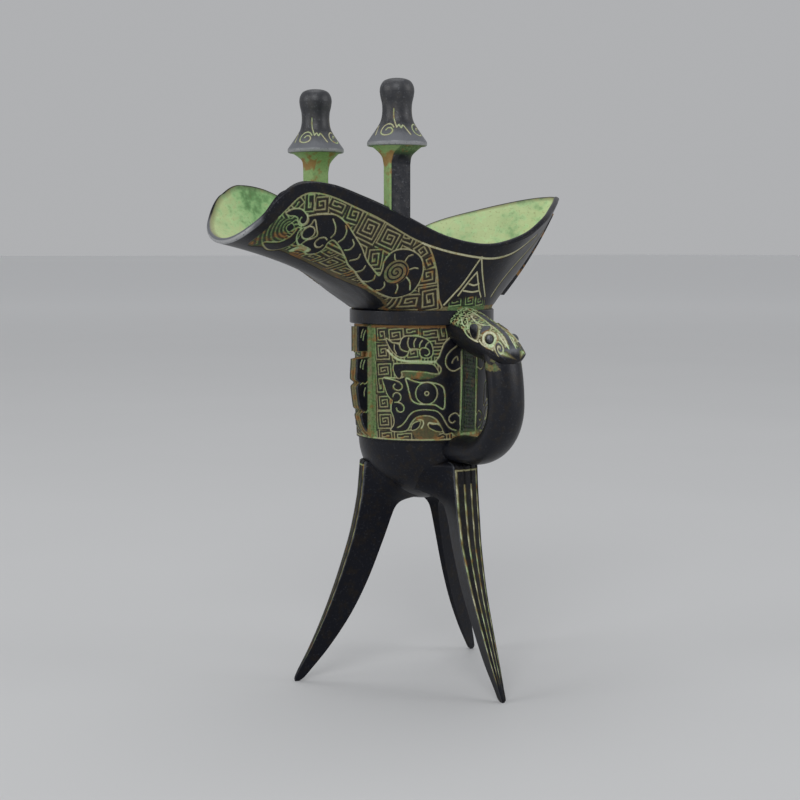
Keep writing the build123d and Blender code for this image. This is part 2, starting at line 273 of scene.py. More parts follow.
def patina_colour(soaked, rusty, verdigris, broad, cloud, grain):
    """An olive to green crust, rusty in places and chalky where it lies thick."""
    hue = 0.7 * broad + 0.6 * cloud + 0.24 * verdigris - 0.15
    deep = hue.between(0.54, 0.68).mix(olive_deep, green_deep)
    pale = hue.between(0.54, 0.72).mix(olive_pale, green_pale)
    crust = soaked.between(0.5, 1.0).mix(deep, pale)
    crust = (rusty * 0.8).mix(crust, rust)
    chalk = hue.between(0.50, 0.66).mix(chalk_cream, chalk_green)
    chalk = (grain.between(0.48, 0.64) * 0.6).mix(chalk, olive_pale)
    return (soaked.between(0.95, 1.6) * (1 - 0.5 * rusty)).mix(crust, chalk)


def lining_colour(stain, rusty, broad, cloud, grain):
    """The pale green inside of the vessel, with a little soil and rust on it."""
    lining = (0.5 * cloud + 0.5 * broad).between(0.38, 0.58).mix(lining_dark, lining_green)
    lining = (0.9 * broad + 0.7 * cloud + 0.4 * stain).between(0.72, 1.26).mix(lining, lining_pale)
    lining = (grain.between(0.60, 0.70) * 0.3).mix(lining, soil_brown)
    return (rusty * 0.22).mix(lining, rust)


def bronze(name, extra_patina=None, sheen_rough=0.36, gloss=0.26, mottle=1.0):
    """Dark bronze with patina in what is cut into it. The extra patina says where more of it lies."""
    material, surface, place = new_finish(name)
    recess, inside, wear, stain, verdigris = (attribute(place, key) for key in layer_names)
    broad = noise(place, broad_scale)
    cloud = noise(place, cloud_scale, 4.0)
    grain = noise(place, grain_scale, 2.0)
    if extra_patina:
        extra = extra_patina(place, cloud)
        recess = recess.most(extra)
        verdigris = verdigris.most(extra * 1.6)
        stain = stain.most(extra * 1.2)
    soaked = recess * (0.62 + 0.7 * grain)
    rusty = (0.65 * cloud + 0.35 * broad + 0.16 * stain).between(0.54, 0.66)
    cover = soaked.between(0.05, 0.62).most(inside)
    metal = metal_colour(wear, cloud, grain, mottle)
    crust = patina_colour(soaked, rusty, verdigris, broad, cloud, grain)
    crust = inside.mix(crust, lining_colour(stain, rusty, broad, cloud, grain))
    relief = {"Strength": 0.12, "Distance": 0.0004, "Height": grain + 0.8 * cloud}
    plug(
        surface,
        {
            "Base Color": cover.mix(metal, crust),
            "Roughness": sheen_rough + 0.12 * (cloud - 0.5) + cover * 0.36,
            "Metallic": (1 - cover) * 0.15,
            "Normal": place.node("ShaderNodeBump", {}, relief),
            "Specular IOR Level": gloss,
        },
    )
    return material


carved_bronze = bronze("carved_bronze")
plain_bronze = bronze("plain_bronze", sheen_rough=0.30, gloss=0.4)
print("finishes:", carved_bronze.name, plain_bronze.name)

# %% [markdown]
# ## Drawing on metal
# The ornament was carved into the clay model before casting. Its lines are drawn here as a founder would
# draw them, with a few points and a smooth curve through them, in millimetres. A carving then knows for
# each place on the surface how far it is from every line, and turns that into a height.


# %% Lines and distances
# no line is felt further away than this
drawing_reach = 1.6


def smooth_line(points, closed=False, steps=6):
    """A smooth curve through given points, as a row of short steps."""
    points = np.array(points, float)
    if closed:
        ring = np.vstack([points[-1:], points, points[:2]])
    else:
        ring = np.vstack([2 * points[0] - points[1], points, 2 * points[-1] - points[-2]])
    share = np.linspace(0, 1, steps, endpoint=False)[:, None]
    runs = []
    for before, start, end, after in zip(ring, ring[1:], ring[2:], ring[3:]):
        rise = (end - before) / 2
        bend = before - 2.5 * start + 2 * end - after / 2
        twist = (after - before) / 2 + 1.5 * (start - end)
        runs.append(start + share * rise + share**2 * bend + share**3 * twist)
    runs.append(points[:1] if closed else points[-1:])
    return np.vstack(runs)


def soft_step(value, low, high):
    """0 below low, 1 above high and a smooth step between them."""
    share = np.clip((value - low) / (high - low), 0, 1)
    return share * share * (3 - 2 * share)


def zigzag(phase):
    """A wave that falls from 1 to 0 and rises again with each whole step of the phase."""
    return np.abs((phase % 1) * 2 - 1)


def spiral(x, y, centre, pitch):
    """The distance from a centre, and a wave that winds around it."""
    from_x = x - centre[0]
    from_y = y - centre[1]
    far = np.hypot(from_x, from_y)
    return far, zigzag(far / pitch + np.arctan2(from_y, from_x) / (2 * math.pi))


def swaying(x, y, rate, sway, sway_rate):
    """A wave along x that sways with y."""
    return np.sin(rate * x + sway * np.sin(sway_rate * y))


def point_distance(x, y, point):
    """Distance from each place to a point."""
    return np.hypot(x - point[0], y - point[1])


def places_near(x, y, line, reach):
    """The numbers of the places in a line's box, widened by a reach, and their x and y."""
    low = line.min(axis=0) - reach
    high = line.max(axis=0) + reach
    near = np.nonzero((x > low[0]) & (x < high[0]) & (y > low[1]) & (y < high[1]))[0]
    return near, x[near], y[near]


def line_distance(x, y, line):
    """Distance from each place to a line, worked out only for places within reach of it."""
    distance = np.full(x.shape, drawing_reach)
    near, near_x, near_y = places_near(x, y, line, drawing_reach)
    best = distance[near] ** 2
    for start, end in zip(line, line[1:]):
        run_x, run_y = end - start
        share = ((near_x - start[0]) * run_x + (near_y - start[1]) * run_y) / max(run_x**2 + run_y**2, 1e-9)
        share = np.clip(share, 0, 1)
        gap = (near_x - start[0] - share * run_x) ** 2 + (near_y - start[1] - share * run_y) ** 2
        best = np.minimum(best, gap)
    distance[near] = np.sqrt(best)
    return distance


def is_inside(x, y, outline):
    """True for each place inside a closed outline."""
    near, near_x, near_y = places_near(x, y, outline, 0)
    odd = np.zeros(near.shape, bool)
    for start, end in zip(outline, outline[1:]):
        crosses = (start[1] > near_y) != (end[1] > near_y)
        slope = (end[0] - start[0]) / (end[1] - start[1] + 1e-12)
        odd ^= crosses & (near_x < start[0] + (near_y - start[1]) * slope)
    result = np.zeros(x.shape, bool)
    result[near] = odd
    return result


def outline_depth(x, y, outline):
    """Distance to a closed outline, negative inside it."""
    distance = line_distance(x, y, outline)
    return np.where(is_inside(x, y, outline), -distance, distance)


# %% A carving
line_wide = 0.46
line_deep = 0.22
line_fill = 1.35
fret_deep = 0.24
# each soft edge is given by the values where it starts and where it is complete
fret_cut = (0.42, 0.68)
fret_core = (0.68, 0.92)


class Carving:
    """A drawing cut into a surface: the height of each place, and how full of patina it is."""

    def __init__(self, x, y):
        self.x = x
        self.y = y
        self.height = np.zeros(x.shape)
        self.recess = np.zeros(x.shape)
        self.stain = np.zeros(x.shape)
        self.green = np.zeros(x.shape)

    def blend(self, share, height, recess):
        """Go over to a new height and amount of patina where the share is 1."""
        self.height += share * (height - self.height)
        self.recess += share * (recess - self.recess)

    def fill(self, layers, window, shape):
        """Write the patina, stains and greenness into a window of a piece's value layers."""
        for key in ("recess", "stain", "green"):
            layers[key][window] = getattr(self, key).reshape(shape)

    def fret(self, cells, within, pitch=1.3, stretch=1.0):
        """Square spirals, the thunder pattern that fills the ground. A cell is a centre, two half sizes and
        a turn. The stretch draws them taller first, for a wall that leans away."""
        nearest = np.full(self.x.shape, 1e9)
        phase = np.zeros(self.x.shape)
        for centre_x, centre_y, half_x, half_y, turn in cells:
            cosine = math.cos(math.radians(turn))
            sine = math.sin(math.radians(turn))
            from_x = self.x - centre_x
            from_y = (self.y - centre_y) * stretch
            side_x = from_x * cosine + from_y * sine
            side_y = from_y * cosine - from_x * sine
            less = min(half_x, half_y)
            ring = np.maximum(np.abs(side_x) - (half_x - less), np.abs(side_y) - (half_y - less))
            far = ring - less
            closer = far < nearest
            nearest[closer] = far[closer]
            winding = ring / pitch + np.arctan2(side_y, side_x) / (2 * math.pi)
            phase[closer] = winding[closer]
        wave = zigzag(phase)
        cut = soft_step(wave, *fret_cut)
        core = soft_step(wave, *fret_core)
        self.blend(within, 0.02 - fret_deep * cut, 0.18 + 0.50 * cut + 0.45 * core)

    def plate(self, points, high=0.2, ring=0.42):
        """A raised shape with a groove around it."""
        depth = outline_depth(self.x, self.y, smooth_line(points, closed=True))
        self.blend(1 - soft_step(depth, ring, ring + 0.18), -0.22, 1.2)
        self.blend(1 - soft_step(depth, -0.12, 0.12), high, 0.0)

    def cut(self, distance, wide, deep, fill):
        """A groove where the distance from its middle is less than half its width."""
        share = 1 - soft_step(distance, wide / 2 - 0.1, wide / 2 + 0.14)
        self.blend(share, -deep, fill)

    def groove(self, points, wide=line_wide, deep=line_deep, closed=False, fill=line_fill):
        """A cut along a curve, full of patina."""
        self.cut(line_distance(self.x, self.y, smooth_line(points, closed)), wide, deep, fill)

    def grooves(self, lines, **style):
        """A groove along each of some curves, all in one style."""
        for points in lines:
            self.groove(points, **style)

    def ring(self, centre, radius):
        """A round groove."""
        far = point_distance(self.x, self.y, centre)
        self.cut(np.abs(far - radius), line_wide, line_deep, line_fill)


print("carving tools ready")

# %% [markdown]
# ## From a grid to a closed piece
# Every carved piece starts as Blender's flat grid. One way along the grid runs along the piece, and the
# other way goes once round its section, so that moving the grid's points to their places wraps it into a
# wall. Edges that meet are then merged, open ends are filled, and the normals are turned outwards.


# %% Wrap a grid
def blank_layers(shape):
    """A layer of zeros for each value that the bronze finish reads."""
    return {key: np.zeros(shape) for key in layer_names}


def unit_normals(places):
    """The normal at each place of a grid."""
    normal = np.cross(np.gradient(places, axis=1), np.gradient(places, axis=0))
    return normal / (np.linalg.norm(normal, axis=2)[..., None] + 1e-9)


def turned(places, angle):
    """Places turned around the cup's axis by an angle in degrees."""
    turn = math.radians(angle)
    x = places[..., 0] * math.cos(turn) - places[..., 1] * math.sin(turn)
    y = places[..., 0] * math.sin(turn) + places[..., 1] * math.cos(turn)
    return np.stack([x, y, places[..., 2]], axis=-1)


def wrapped_grid(name, places, layers, finish, node, angle=60.0):
    """A closed piece from an array of places in millimetres, rows by columns, with its value layers."""
    rows, columns = places.shape[:2]
    bpy.ops.object.select_all(action="DESELECT")
    bpy.ops.mesh.primitive_grid_add(x_subdivisions=columns - 1, y_subdivisions=rows - 1, size=1)
    piece = bpy.context.object
    piece.name = name
    piece.data.name = name
    piece.data.vertices.foreach_set("co", (places * millimetre).astype(np.float32).ravel())
    for key, values in layers.items():
        layer = piece.data.attributes.new(key, "FLOAT", "POINT")
        layer.data.foreach_set("value", values.astype(np.float32).ravel())
    close_up(piece, angle)
    return dress(piece, finish, node)


def wrapped_columns(name, places, layers, finish, node):
    """The same from arrays that are columns by rows."""
    by_rows = {key: values.T for key, values in layers.items()}
    return wrapped_grid(name, places.transpose(1, 0, 2), by_rows, finish, node)


def close_up(piece, angle):
    """Merge seams and poles, fill open ends, turn the normals outwards and shade smoothly."""
    bpy.ops.object.mode_set(mode="EDIT")
    bpy.ops.mesh.select_all(action="SELECT")
    bpy.ops.mesh.remove_doubles(threshold=2e-6)
    bpy.ops.mesh.select_all(action="SELECT")
    bpy.ops.mesh.fill_holes(sides=0)
    bpy.ops.mesh.select_all(action="SELECT")
    bpy.ops.mesh.normals_make_consistent(inside=False)
    bpy.ops.object.mode_set(mode="OBJECT")
    bpy.ops.object.shade_smooth_by_angle(angle=math.radians(angle))


def dress(piece, finish, node):
    """Give a piece its finish, hang it on the root body and hide the CAD part that it stands in for."""
    piece.data.materials.clear()
    piece.data.materials.append(finish)
    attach(piece, "root")
    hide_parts(node)
    print(piece.name, len(piece.data.polygons), "faces")
    return piece


def mirrored_copy(piece, name, flip, node):
    """A copy with its own mesh, mirrored across an upright plane through the cup's axis."""
    bpy.ops.object.select_all(action="DESELECT")
    piece.select_set(True)
    bpy.context.view_layer.objects.active = piece
    bpy.ops.object.duplicate(linked=False)
    copy = bpy.context.object
    copy.name = name
    copy.data.name = name
    bpy.ops.object.mode_set(mode="EDIT")
    bpy.ops.mesh.select_all(action="SELECT")
    bpy.ops.transform.resize(value=flip, center_override=(0, 0, 0))
    bpy.ops.mesh.normals_make_consistent(inside=False)
    bpy.ops.object.mode_set(mode="OBJECT")
    return dress(copy, piece.data.materials[0], node)


# %% [markdown]
# ## The mouth
# The mouth is one wall that leans out into the spout on one side and the tail on the other. Its sections
# stand in upright planes through the cup's axis, and each is a single curve from the foot, past a belly,
# to the rim.

# %% Sections of the mouth
mouth_foot = (26.0, 139.35)
mouth_bore = 21.5
mouth_neck = 24.4
mouth_seam = 136.7
mouth_wall = 2.0
# rim x, rim half width, rim height, belly distance from the axis, belly height
mouth_stations = [
    (67.6, 0.0, 180.9, 40.3, 139.8),
    (66.4, 2.6, 181.1, 41.5, 142.0),
    (62.5, 6.6, 180.8, 43.5, 148.0),
    (55.5, 13.8, 179.2, 43.5, 152.5),
    (46.0, 22.2, 176.3, 38.5, 153.0),
    (33.0, 32.3, 171.6, 31.5, 152.5),
    (19.0, 36.8, 165.5, 28.6, 152.0),
    (4.0, 34.8, 162.4, 27.7, 151.5),
    (-12.0, 30.8, 165.6, 28.8, 152.0),
    (-29.0, 27.8, 173.2, 34.5, 152.3),
    (-44.0, 26.1, 179.0, 42.0, 151.0),
    (-57.0, 24.5, 183.0, 53.0, 155.8),
    (-68.0, 22.7, 183.0, 62.5, 161.8),
    (-76.0, 21.0, 178.0, 66.8, 165.6),
    (-80.8, 18.2, 171.2, 65.5, 165.3),
    (-84.0, 13.0, 166.7, 59.0, 161.8),
    (-85.6, 6.5, 164.0, 51.0, 157.2),
    (-86.0, 0.0, 163.2, 47.0, 155.0),
]
mirrored = np.array((1, -1, 1, 1, 1))
stations = np.array(mouth_stations) * mirrored
rim_steps = 60
curve_steps = 90
ring_of_stations = np.vstack([stations[2:0:-1] * mirrored, stations, stations[-2:-4:-1] * mirrored])
rim_line = smooth_line(ring_of_stations, steps=rim_steps)[2 * rim_steps : -2 * rim_steps]
print("rim stations:", len(mouth_stations), "steps along the rim:", len(rim_line))


def lengths_along(points):
    """The distance from the first point of a line to each of its points."""
    steps = np.linalg.norm(np.diff(points, axis=0), axis=1)
    return np.concatenate([[0], np.cumsum(steps)])


def spread(values, places, count):
    """Values at evenly shared distances along a measured row of places."""
    wanted = np.linspace(places[0], places[-1], count)
    return np.stack([np.interp(wanted, places, column) for column in values.T], axis=1)


def bezier(start, pull, end, share):
    """A curve from start to end that is pulled towards a third point."""
    return start * (1 - share) ** 2 + pull * (2 * share * (1 - share)) + end * share**2


def wall_rows(foot, belly, rim, count):
    """Points at even distances along each section's curve: columns, rows, then (reach, height)."""
    fine = np.linspace(0, 1, curve_steps)[None, :, None]
    curves = bezier(foot[:, None], belly[:, None], rim[:, None], fine)
    return np.array([spread(curve, lengths_along(curve), count) for curve in curves])


def stood_up(flat, turn):
    """Places in space from (distance from the axis, height) at a turn around the axis."""
    return np.stack([flat[..., 0] * np.cos(turn), flat[..., 0] * np.sin(turn), flat[..., 1]], axis=-1)


def inward(point, along, rising, turn):
    """The point one wall thickness inside the surface, moved along the wall into its own upright plane."""
    outward = np.cross(rising, along)
    outward /= np.linalg.norm(outward, axis=1)[:, None]
    plane_normal = np.stack([np.sin(turn), -np.cos(turn), 0 * turn], axis=1)
    slide = (outward * plane_normal).sum(1) / (along * plane_normal).sum(1)
    moved = point - (outward - along * slide[:, None]) * mouth_wall
    reach = moved[:, 0] * np.cos(turn) + moved[:, 1] * np.sin(turn)
    return np.stack([reach, moved[:, 2]], axis=1)


# %% [markdown]
# ### Dragon, thunder pattern and leaf
# The spout's wall carries a dragon with a coiled tail in a field of square spirals. Beside it a long leaf
# stands over the handle. All of it is drawn in side view: x along the vessel and z up.

# %% The mouth's drawing
panel_outline = [
    (-79.5, 163), (-77, 169), (-73, 174), (-69, 178.3), (-65, 180.2), (-60, 180), (-55, 178.7),
    (-50, 176.8), (-45, 174.8), (-40, 172.9), (-35, 170.6), (-30, 168), (-25, 165.5), (-20.5, 163.6),
    (-18.5, 162.8), (-16.5, 160), (-14.5, 156), (-13, 152), (-12, 148), (-11, 144), (-10.2, 139.4),
    (-24.2, 139.4), (-26.5, 141.4), (-30, 144), (-35, 146.8), (-40, 149.3), (-45, 151.6), (-50, 154),
    (-56, 156.6), (-62, 158.9), (-68, 160.9), (-74, 162),
]
panel_frets = [
    (-41, 168.5, 4.6, 4.6, -25), (-33, 165, 4.2, 4, -25), (-64, 177, 1.6, 3, 0), (-60, 176.3, 2, 2, 0),
    (-54, 176, 2.6, 1.3, -25), (-47.5, 173, 2.2, 2.2, -20), (-26.5, 165.3, 2, 1.2, -25),
    (-20.5, 160.5, 1.6, 1.6, 30), (-17, 156.5, 1.2, 1.6, 20), (-16.5, 152, 2, 2, 5),
    (-14.5, 143.5, 2.4, 3.2, 8), (-20.3, 142.7, 2.6, 2, 0), (-37, 158, 2.4, 3, 0),
    (-69, 176.4, 2.4, 1.4, 40),
]
keel_frets = [
    (-52, 160.2, 2.4, 2.4, 45), (-56.5, 158.6, 2.2, 1.8, -38), (-50.3, 156.6, 2.4, 2.2, -42),
    (-45, 153.8, 2.6, 2.2, -42), (-39.6, 150.4, 2.4, 1.8, -42), (-34.4, 147.4, 2.2, 1.7, -40),
    (-29, 143.9, 2, 1.7, -40), (-62, 160.1, 2.4, 1.7, -35), (-68, 161.8, 2.6, 1.6, -30),
]
dragon_body = [
    (-66, 163.4), (-65.8, 166), (-65.2, 168.6), (-64.5, 171.5), (-62, 172.5), (-58, 172.8), (-54, 172.5),
    (-50, 169.8), (-46.5, 166), (-43, 162), (-40, 157.5), (-37, 154.5), (-33.6, 151.8), (-32.9, 154.5),
    (-33, 157), (-31, 160), (-28, 161), (-24, 160.5), (-20.5, 158), (-19, 154), (-19.3, 150),
    (-20.6, 146.6), (-22, 145.3), (-25, 144.3), (-28, 144.8), (-33, 147), (-38, 150.2), (-42, 153.7),
    (-45, 156), (-47, 158.5), (-50, 162), (-53, 164.5), (-54.8, 163.5), (-55.2, 161.5), (-56.5, 160),
    (-59, 159.8), (-60.5, 161.6), (-62.5, 162.8), (-64.5, 162.6),
]
dragon_crest = [
    (-72, 173.2), (-71, 174), (-69.5, 174.5), (-67, 174.4), (-65, 172.9), (-63.8, 171), (-64.6, 169.6),
    (-66, 169.5), (-67, 170.8), (-67.6, 172), (-69.2, 172.6), (-70.6, 172.6),
]
dragon_jaw = [
    (-75, 163.3), (-72.5, 163.4), (-70, 163.6), (-68.2, 165), (-67.1, 166.8), (-66.4, 168.4),
    (-65.2, 167.4), (-65.3, 165), (-66.2, 162.6), (-68.4, 161.3), (-71.6, 161.3),
]
dragon_grooves = [
    [(-55, 171.5), (-53.6, 169), (-53.3, 166.8), (-54.2, 165.2)],
    [(-50, 169.3), (-49.3, 167.3), (-49.8, 165), (-51.3, 163.7)],
    [(-46.5, 164.5), (-45.6, 162.8), (-46.6, 161.2), (-48.3, 160.9)],
    [(-42.5, 159.5), (-43, 158), (-45.3, 157.3)],
    [(-39.5, 155.5), (-40, 154), (-41.8, 153.3)],
    [(-35, 152.2), (-35, 150.8), (-36.2, 150), (-38, 150)],
    [(-31, 149.7), (-30.5, 148.3), (-31.2, 147), (-32.3, 146.9)],
    [(-26.7, 149.5), (-25.8, 147.7), (-25.8, 145.8)],
    [(-24, 151.5), (-22.4, 149.7), (-21.6, 147)],
    [(-23.5, 154.2), (-22, 154.7), (-20.7, 154.5)],
    [(-25.8, 157), (-25, 158.7), (-23.5, 159.4)],
    [(-28.8, 157), (-29.6, 158), (-30, 159.5)],
    [(-66.3, 172), (-66.7, 170.8), (-65.8, 169.7), (-64.7, 169.8), (-64, 171), (-64.3, 173)],
    [(-55.3, 164.5), (-56.3, 165.2), (-58, 164.9), (-58.8, 163.5), (-58, 162.2), (-56.7, 161.9),
     (-56, 162.6)],
]
dragon_lid = [
    (-61.3, 171.2), (-60, 168.4), (-59.1, 166.2), (-60, 165), (-62, 164.2), (-63.3, 162.7), (-65, 164),
    (-65.9, 166), (-65.3, 168), (-63.2, 168.8), (-62.3, 169.6),
]
panel_corner = panel_outline[0]
panel_pitch = 1.4
keel_slope = 0.425
comb_centre = (-69.3, 168.5)
comb_pitch = 1.25
comb_flatness = 1.2
dragon_eye = (-62.3, 166.8)
dragon_eye_radius = 2.1
jaw_diamond = [(-70.6, 168.5), (-69.3, 169.8), (-68, 168.5), (-69.3, 167.2)]
keel_gap = [(-64, 160.8), (-61.5, 161.6), (-59.4, 160.8)]
coil_centre = (-28.0, 153.2)
coil_radius = 4.2
coil_pitch = 1.5
leaf_grooves = [
    [(2.4, 158.4), (-0.5, 152.5), (-3, 148.5), (-6, 145), (-9, 141.5)],
    [(2.4, 158.2), (5, 152.5), (7.5, 148), (9.7, 144.2)],
    [(2.3, 153), (-0.5, 149.5), (-4, 144.7)],
    [(2.3, 153), (4, 149.5), (5.5, 146.5), (7.2, 144)],
    [(0, 148.8), (2.3, 148.3), (4.6, 148.8)],
    [(-2, 146.4), (2, 145.9), (5.5, 146.3)],
]
foot_frets = [(-4.6, 142.6, 2.4, 1.5, 0), (1.6, 143, 2.2, 1.9, 0), (7, 142.6, 2, 1.5, 0)]
collar_line = [
    (-20.7, 163.4), (-18.4, 162.5), (-10, 160.2), (0, 158.4), (8, 157.9), (16, 159.5), (24, 163),
    (32, 166.5),
]
tail_line = [(14, 144), (19, 150), (26, 156.5), (34, 162), (42, 167), (50, 172)]
# each soft edge is given by the values where it starts and where it is complete
keel_top = (9.5, 8.5)
keel_end = (-26, -28)
keel_stain = (10, 3)
neck_stain = (-24, -17)
jaw_green = (-58, -66)
border_start = (-0.65, -0.5)
border_fading = (7.5, 5)
comb_right = (-69.2, -70)
comb_left = (-79.3, -78.5)
comb_foot = (162.6, 163.2)
comb_top = (171.9, 171.2)
comb_cut = (0.4, 0.7)
coil_cut = (0.22, 0.48)
coil_stain = (-29, -25)
foot_top = (145.6, 143.6)
foot_half = (9.4, 8.4)
neck_top = (141.1, 140.6)
neck_half = (24, 22)


def carve_ground(carving):
    """Spirals all over the panel, its border and a comb on the jaw. Returns where the panel is."""
    x = carving.x
    z = carving.y
    panel = outline_depth(x, z, smooth_line(panel_outline, closed=True))
    within = 1 - soft_step(panel, -0.15, 0.1)
    above_keel = z - panel_corner[1] + keel_slope * (x - panel_corner[0])
    low = soft_step(above_keel, *keel_top) * soft_step(x, *keel_end)
    carving.fret(panel_frets, within, panel_pitch)
    carving.fret(keel_frets, within * low, panel_pitch, stretch=1.7)
    border = within * soft_step(panel, *border_start)
    carving.blend(border, -0.18, 1.0 - 0.6 * soft_step(above_keel, *border_fading))
    brown = np.maximum(soft_step(above_keel, *keel_stain) * 0.35, soft_step(x, *neck_stain) * 0.35)
    carving.stain = within * brown
    carving.green = within * (0.25 + 0.5 * soft_step(x, *jaw_green))

    comb = soft_step(x, *comb_right) * soft_step(x, *comb_left) * soft_step(z, *comb_foot)
    comb *= soft_step(z, *comb_top) * within
    arcs = np.hypot(x - comb_centre[0], (z - comb_centre[1]) * comb_flatness) / comb_pitch
    stripe = soft_step(zigzag(arcs), *comb_cut)
    carving.blend(comb, 0.02 - 0.2 * stripe, 0.25 + 0.5 * stripe)
    return within


def carve_dragon(carving):
    """The dragon's body, crest and jaw, the marks on them and the coil of its tail."""
    carving.plate(dragon_body)
    carving.plate(dragon_crest)
    carving.plate(dragon_jaw, ring=0.3)
    carving.grooves(dragon_grooves)
    carving.groove(dragon_lid, closed=True)
    carving.ring(dragon_eye, dragon_eye_radius)
    carving.plate(jaw_diamond, ring=0.2)
    carving.groove(keel_gap, wide=1.2)

    far, wave = spiral(carving.x, carving.y, coil_centre, coil_pitch)
    disc = 1 - soft_step(far, coil_radius, coil_radius + 0.3)
    wave = soft_step(wave, *coil_cut)
    carving.blend(disc, 0.08 - 0.22 * wave, 0.08 + 0.62 * wave)
    carving.stain = np.maximum(carving.stain, disc * soft_step(carving.x, *coil_stain) * 0.7)


def carve_leaf(carving, within):
    """The leaf over the handle, the lines beside it and the green along the wall's foot."""
    x = carving.x
    z = carving.y
    carving.grooves(leaf_grooves, wide=0.6)
    carving.groove(collar_line, wide=0.7)
    carving.groove(tail_line, wide=0.6)
    foot_green = soft_step(z + 0.25 * np.abs(x - 2), *foot_top) * soft_step(np.abs(x - 1.5), *foot_half)
    carving.fret(foot_frets, foot_green, pitch=1.2)
    carving.green = np.maximum(carving.green, foot_green * 0.9)
    neck = soft_step(z, *neck_top) * soft_step(np.abs(x), *neck_half) * (1 - within)
    carving.blend(neck, -0.15, 0.65)


def carve_mouth(x, z):
    """The relief of the mouth's wall for side-view places."""
    carving = Carving(x, z)
    within = carve_ground(carving)
    carve_dragon(carving)
    carve_leaf(carving, within)
    return carving


# %% Build the mouth
corner_rows = 4
inside_rows = 26
rim_round = 0.8
rim_flat_share = 0.4
# each soft edge is given by the values where it starts and where it is complete
lip_wear_and_sheen = (-79, -85)
lip_stained = (-72, -83)
lip_deep = (0.34, 0.0)
tail_stained = (10, 40)
foot_ledge = [(mouth_bore, mouth_seam), (mouth_neck, mouth_seam), (mouth_neck, mouth_foot[1]), mouth_foot]


def corner(before, point, after):
    """A rounded corner: rows of a short curve that is pulled to the point."""
    shares = np.linspace(0, 1, corner_rows)[None, :, None]
    return bezier(before[:, None], point[:, None], after[:, None], shares)


def pulled_back(end, towards):
    """The point where a row leaves its straight run for the rounding at its end."""
    back = towards - end
    return end + back * (rim_round / np.linalg.norm(back, axis=1)[:, None])


def mouth_rows(run, turn, outer_rows):
    """The wall's outside, two rim corners, inside and foot, as rows of (distance from the axis, height)."""
    rim = run[:, :3]
    rim_flat = np.stack([np.hypot(run[:, 0], run[:, 1]), run[:, 2]], axis=1)
    belly_flat = run[:, 3:5]
    foot_flat = np.tile(mouth_foot, (len(run), 1))
    bore_flat = np.tile((mouth_bore, mouth_foot[1]), (len(run), 1))
    belly = stood_up(belly_flat, turn)
    foot = stood_up(foot_flat, turn)
    rim_in = inward(rim, np.gradient(rim, axis=0), rim - belly, turn)
    belly_in = inward(belly, np.gradient(belly, axis=0), rim - foot, turn)
    outer = wall_rows(foot_flat, belly_flat, rim_flat, outer_rows)
    inner = wall_rows(bore_flat, belly_in, rim_in, inside_rows)[:, ::-1]
    flat = (rim_in - rim_flat) * rim_flat_share
    top_out = corner(pulled_back(rim_flat, outer[:, -corner_rows]), rim_flat, rim_flat + flat)
    top_in = corner(rim_in - flat, rim_in, pulled_back(rim_in, inner[:, 1]))
    ledge = np.tile(foot_ledge, (len(run), 1, 1))
    return outer[:, :-corner_rows], top_out, top_in, inner[:, 1:], ledge


def mouth_layers(carving, x, shape, wall_count):
    """Patina in the relief outside, a rubbed rim with a painted sheen on the spout's lip, and a green
    lining.
    """
    rim_end = wall_count + 2 * corner_rows
    lining = np.s_[:, rim_end - 1 : -len(foot_ledge)]
    layers = blank_layers(shape)
    carving.fill(layers, np.s_[:, :wall_count], (shape[0], wall_count))
    # the spout's lip is worn, and a painted sheen makes it paler still towards the tip
    wear_and_sheen_amount = 0.25 + 1.35 * soft_step(x, *lip_wear_and_sheen)
    layers["wear"][:, wall_count:rim_end] = wear_and_sheen_amount * np.repeat((1.0, 0.7), corner_rows)
    layers["wear"][:, wall_count - 2 : wall_count] = wear_and_sheen_amount * (0.3, 0.7)
    layers["inside"][lining] = 1.0
    layers["inside"][:, rim_end - 1] = 0.6
    depth = np.linspace(0, 1, layers["stain"][lining].shape[1])
    lip = soft_step(depth, *lip_deep) * soft_step(x, *lip_stained)
    layers["stain"][lining] = np.maximum(lip, soft_step(x, *tail_stained) * 0.75)
    return layers


def mouth_piece(name, first, last, columns, outer_rows):
    """The near wall of the mouth between two stations of the rim, as a closed piece."""
    run = rim_line[first * rim_steps : last * rim_steps + 1]
    run = spread(run, lengths_along(run[:, :3]), columns)
    on_middle = np.abs(run[:, 1]) < 1e-9
    turn = np.arctan2(run[:, 1], run[:, 0])
    turn[on_middle] = np.where(run[on_middle, 0] > 0, 0, -math.pi)
    wall, *others = mouth_rows(run, turn, outer_rows)
    places = stood_up(np.concatenate([wall, *others], axis=1), turn[:, None])
    places[on_middle, :, 1] = 0

    wall_count = wall.shape[1]
    outside = places[:, :wall_count]
    carving = carve_mouth(outside[..., 0].ravel(), outside[..., 2].ravel())
    fade = soft_step(np.arange(wall_count), 0, 3)[None]
    raised = carving.height.reshape(outside.shape[:2]) * fade
    outside += unit_normals(outside) * raised[..., None]
    layers = mouth_layers(carving, run[:, :1], places.shape[:2], wall_count)
    return wrapped_columns(name, places, layers, carved_bronze, "mouth")


near_walls = [
    mouth_piece("mouth_spout_near", first=10, last=17, columns=316, outer_rows=268),
    mouth_piece("mouth_side_near", first=6, last=10, columns=340, outer_rows=236),
    mouth_piece("mouth_tail_near", first=0, last=6, columns=170, outer_rows=130),
]
for wall in near_walls:
    mirrored_copy(wall, wall.name.replace("near", "far"), (1, -1, 1), "mouth")

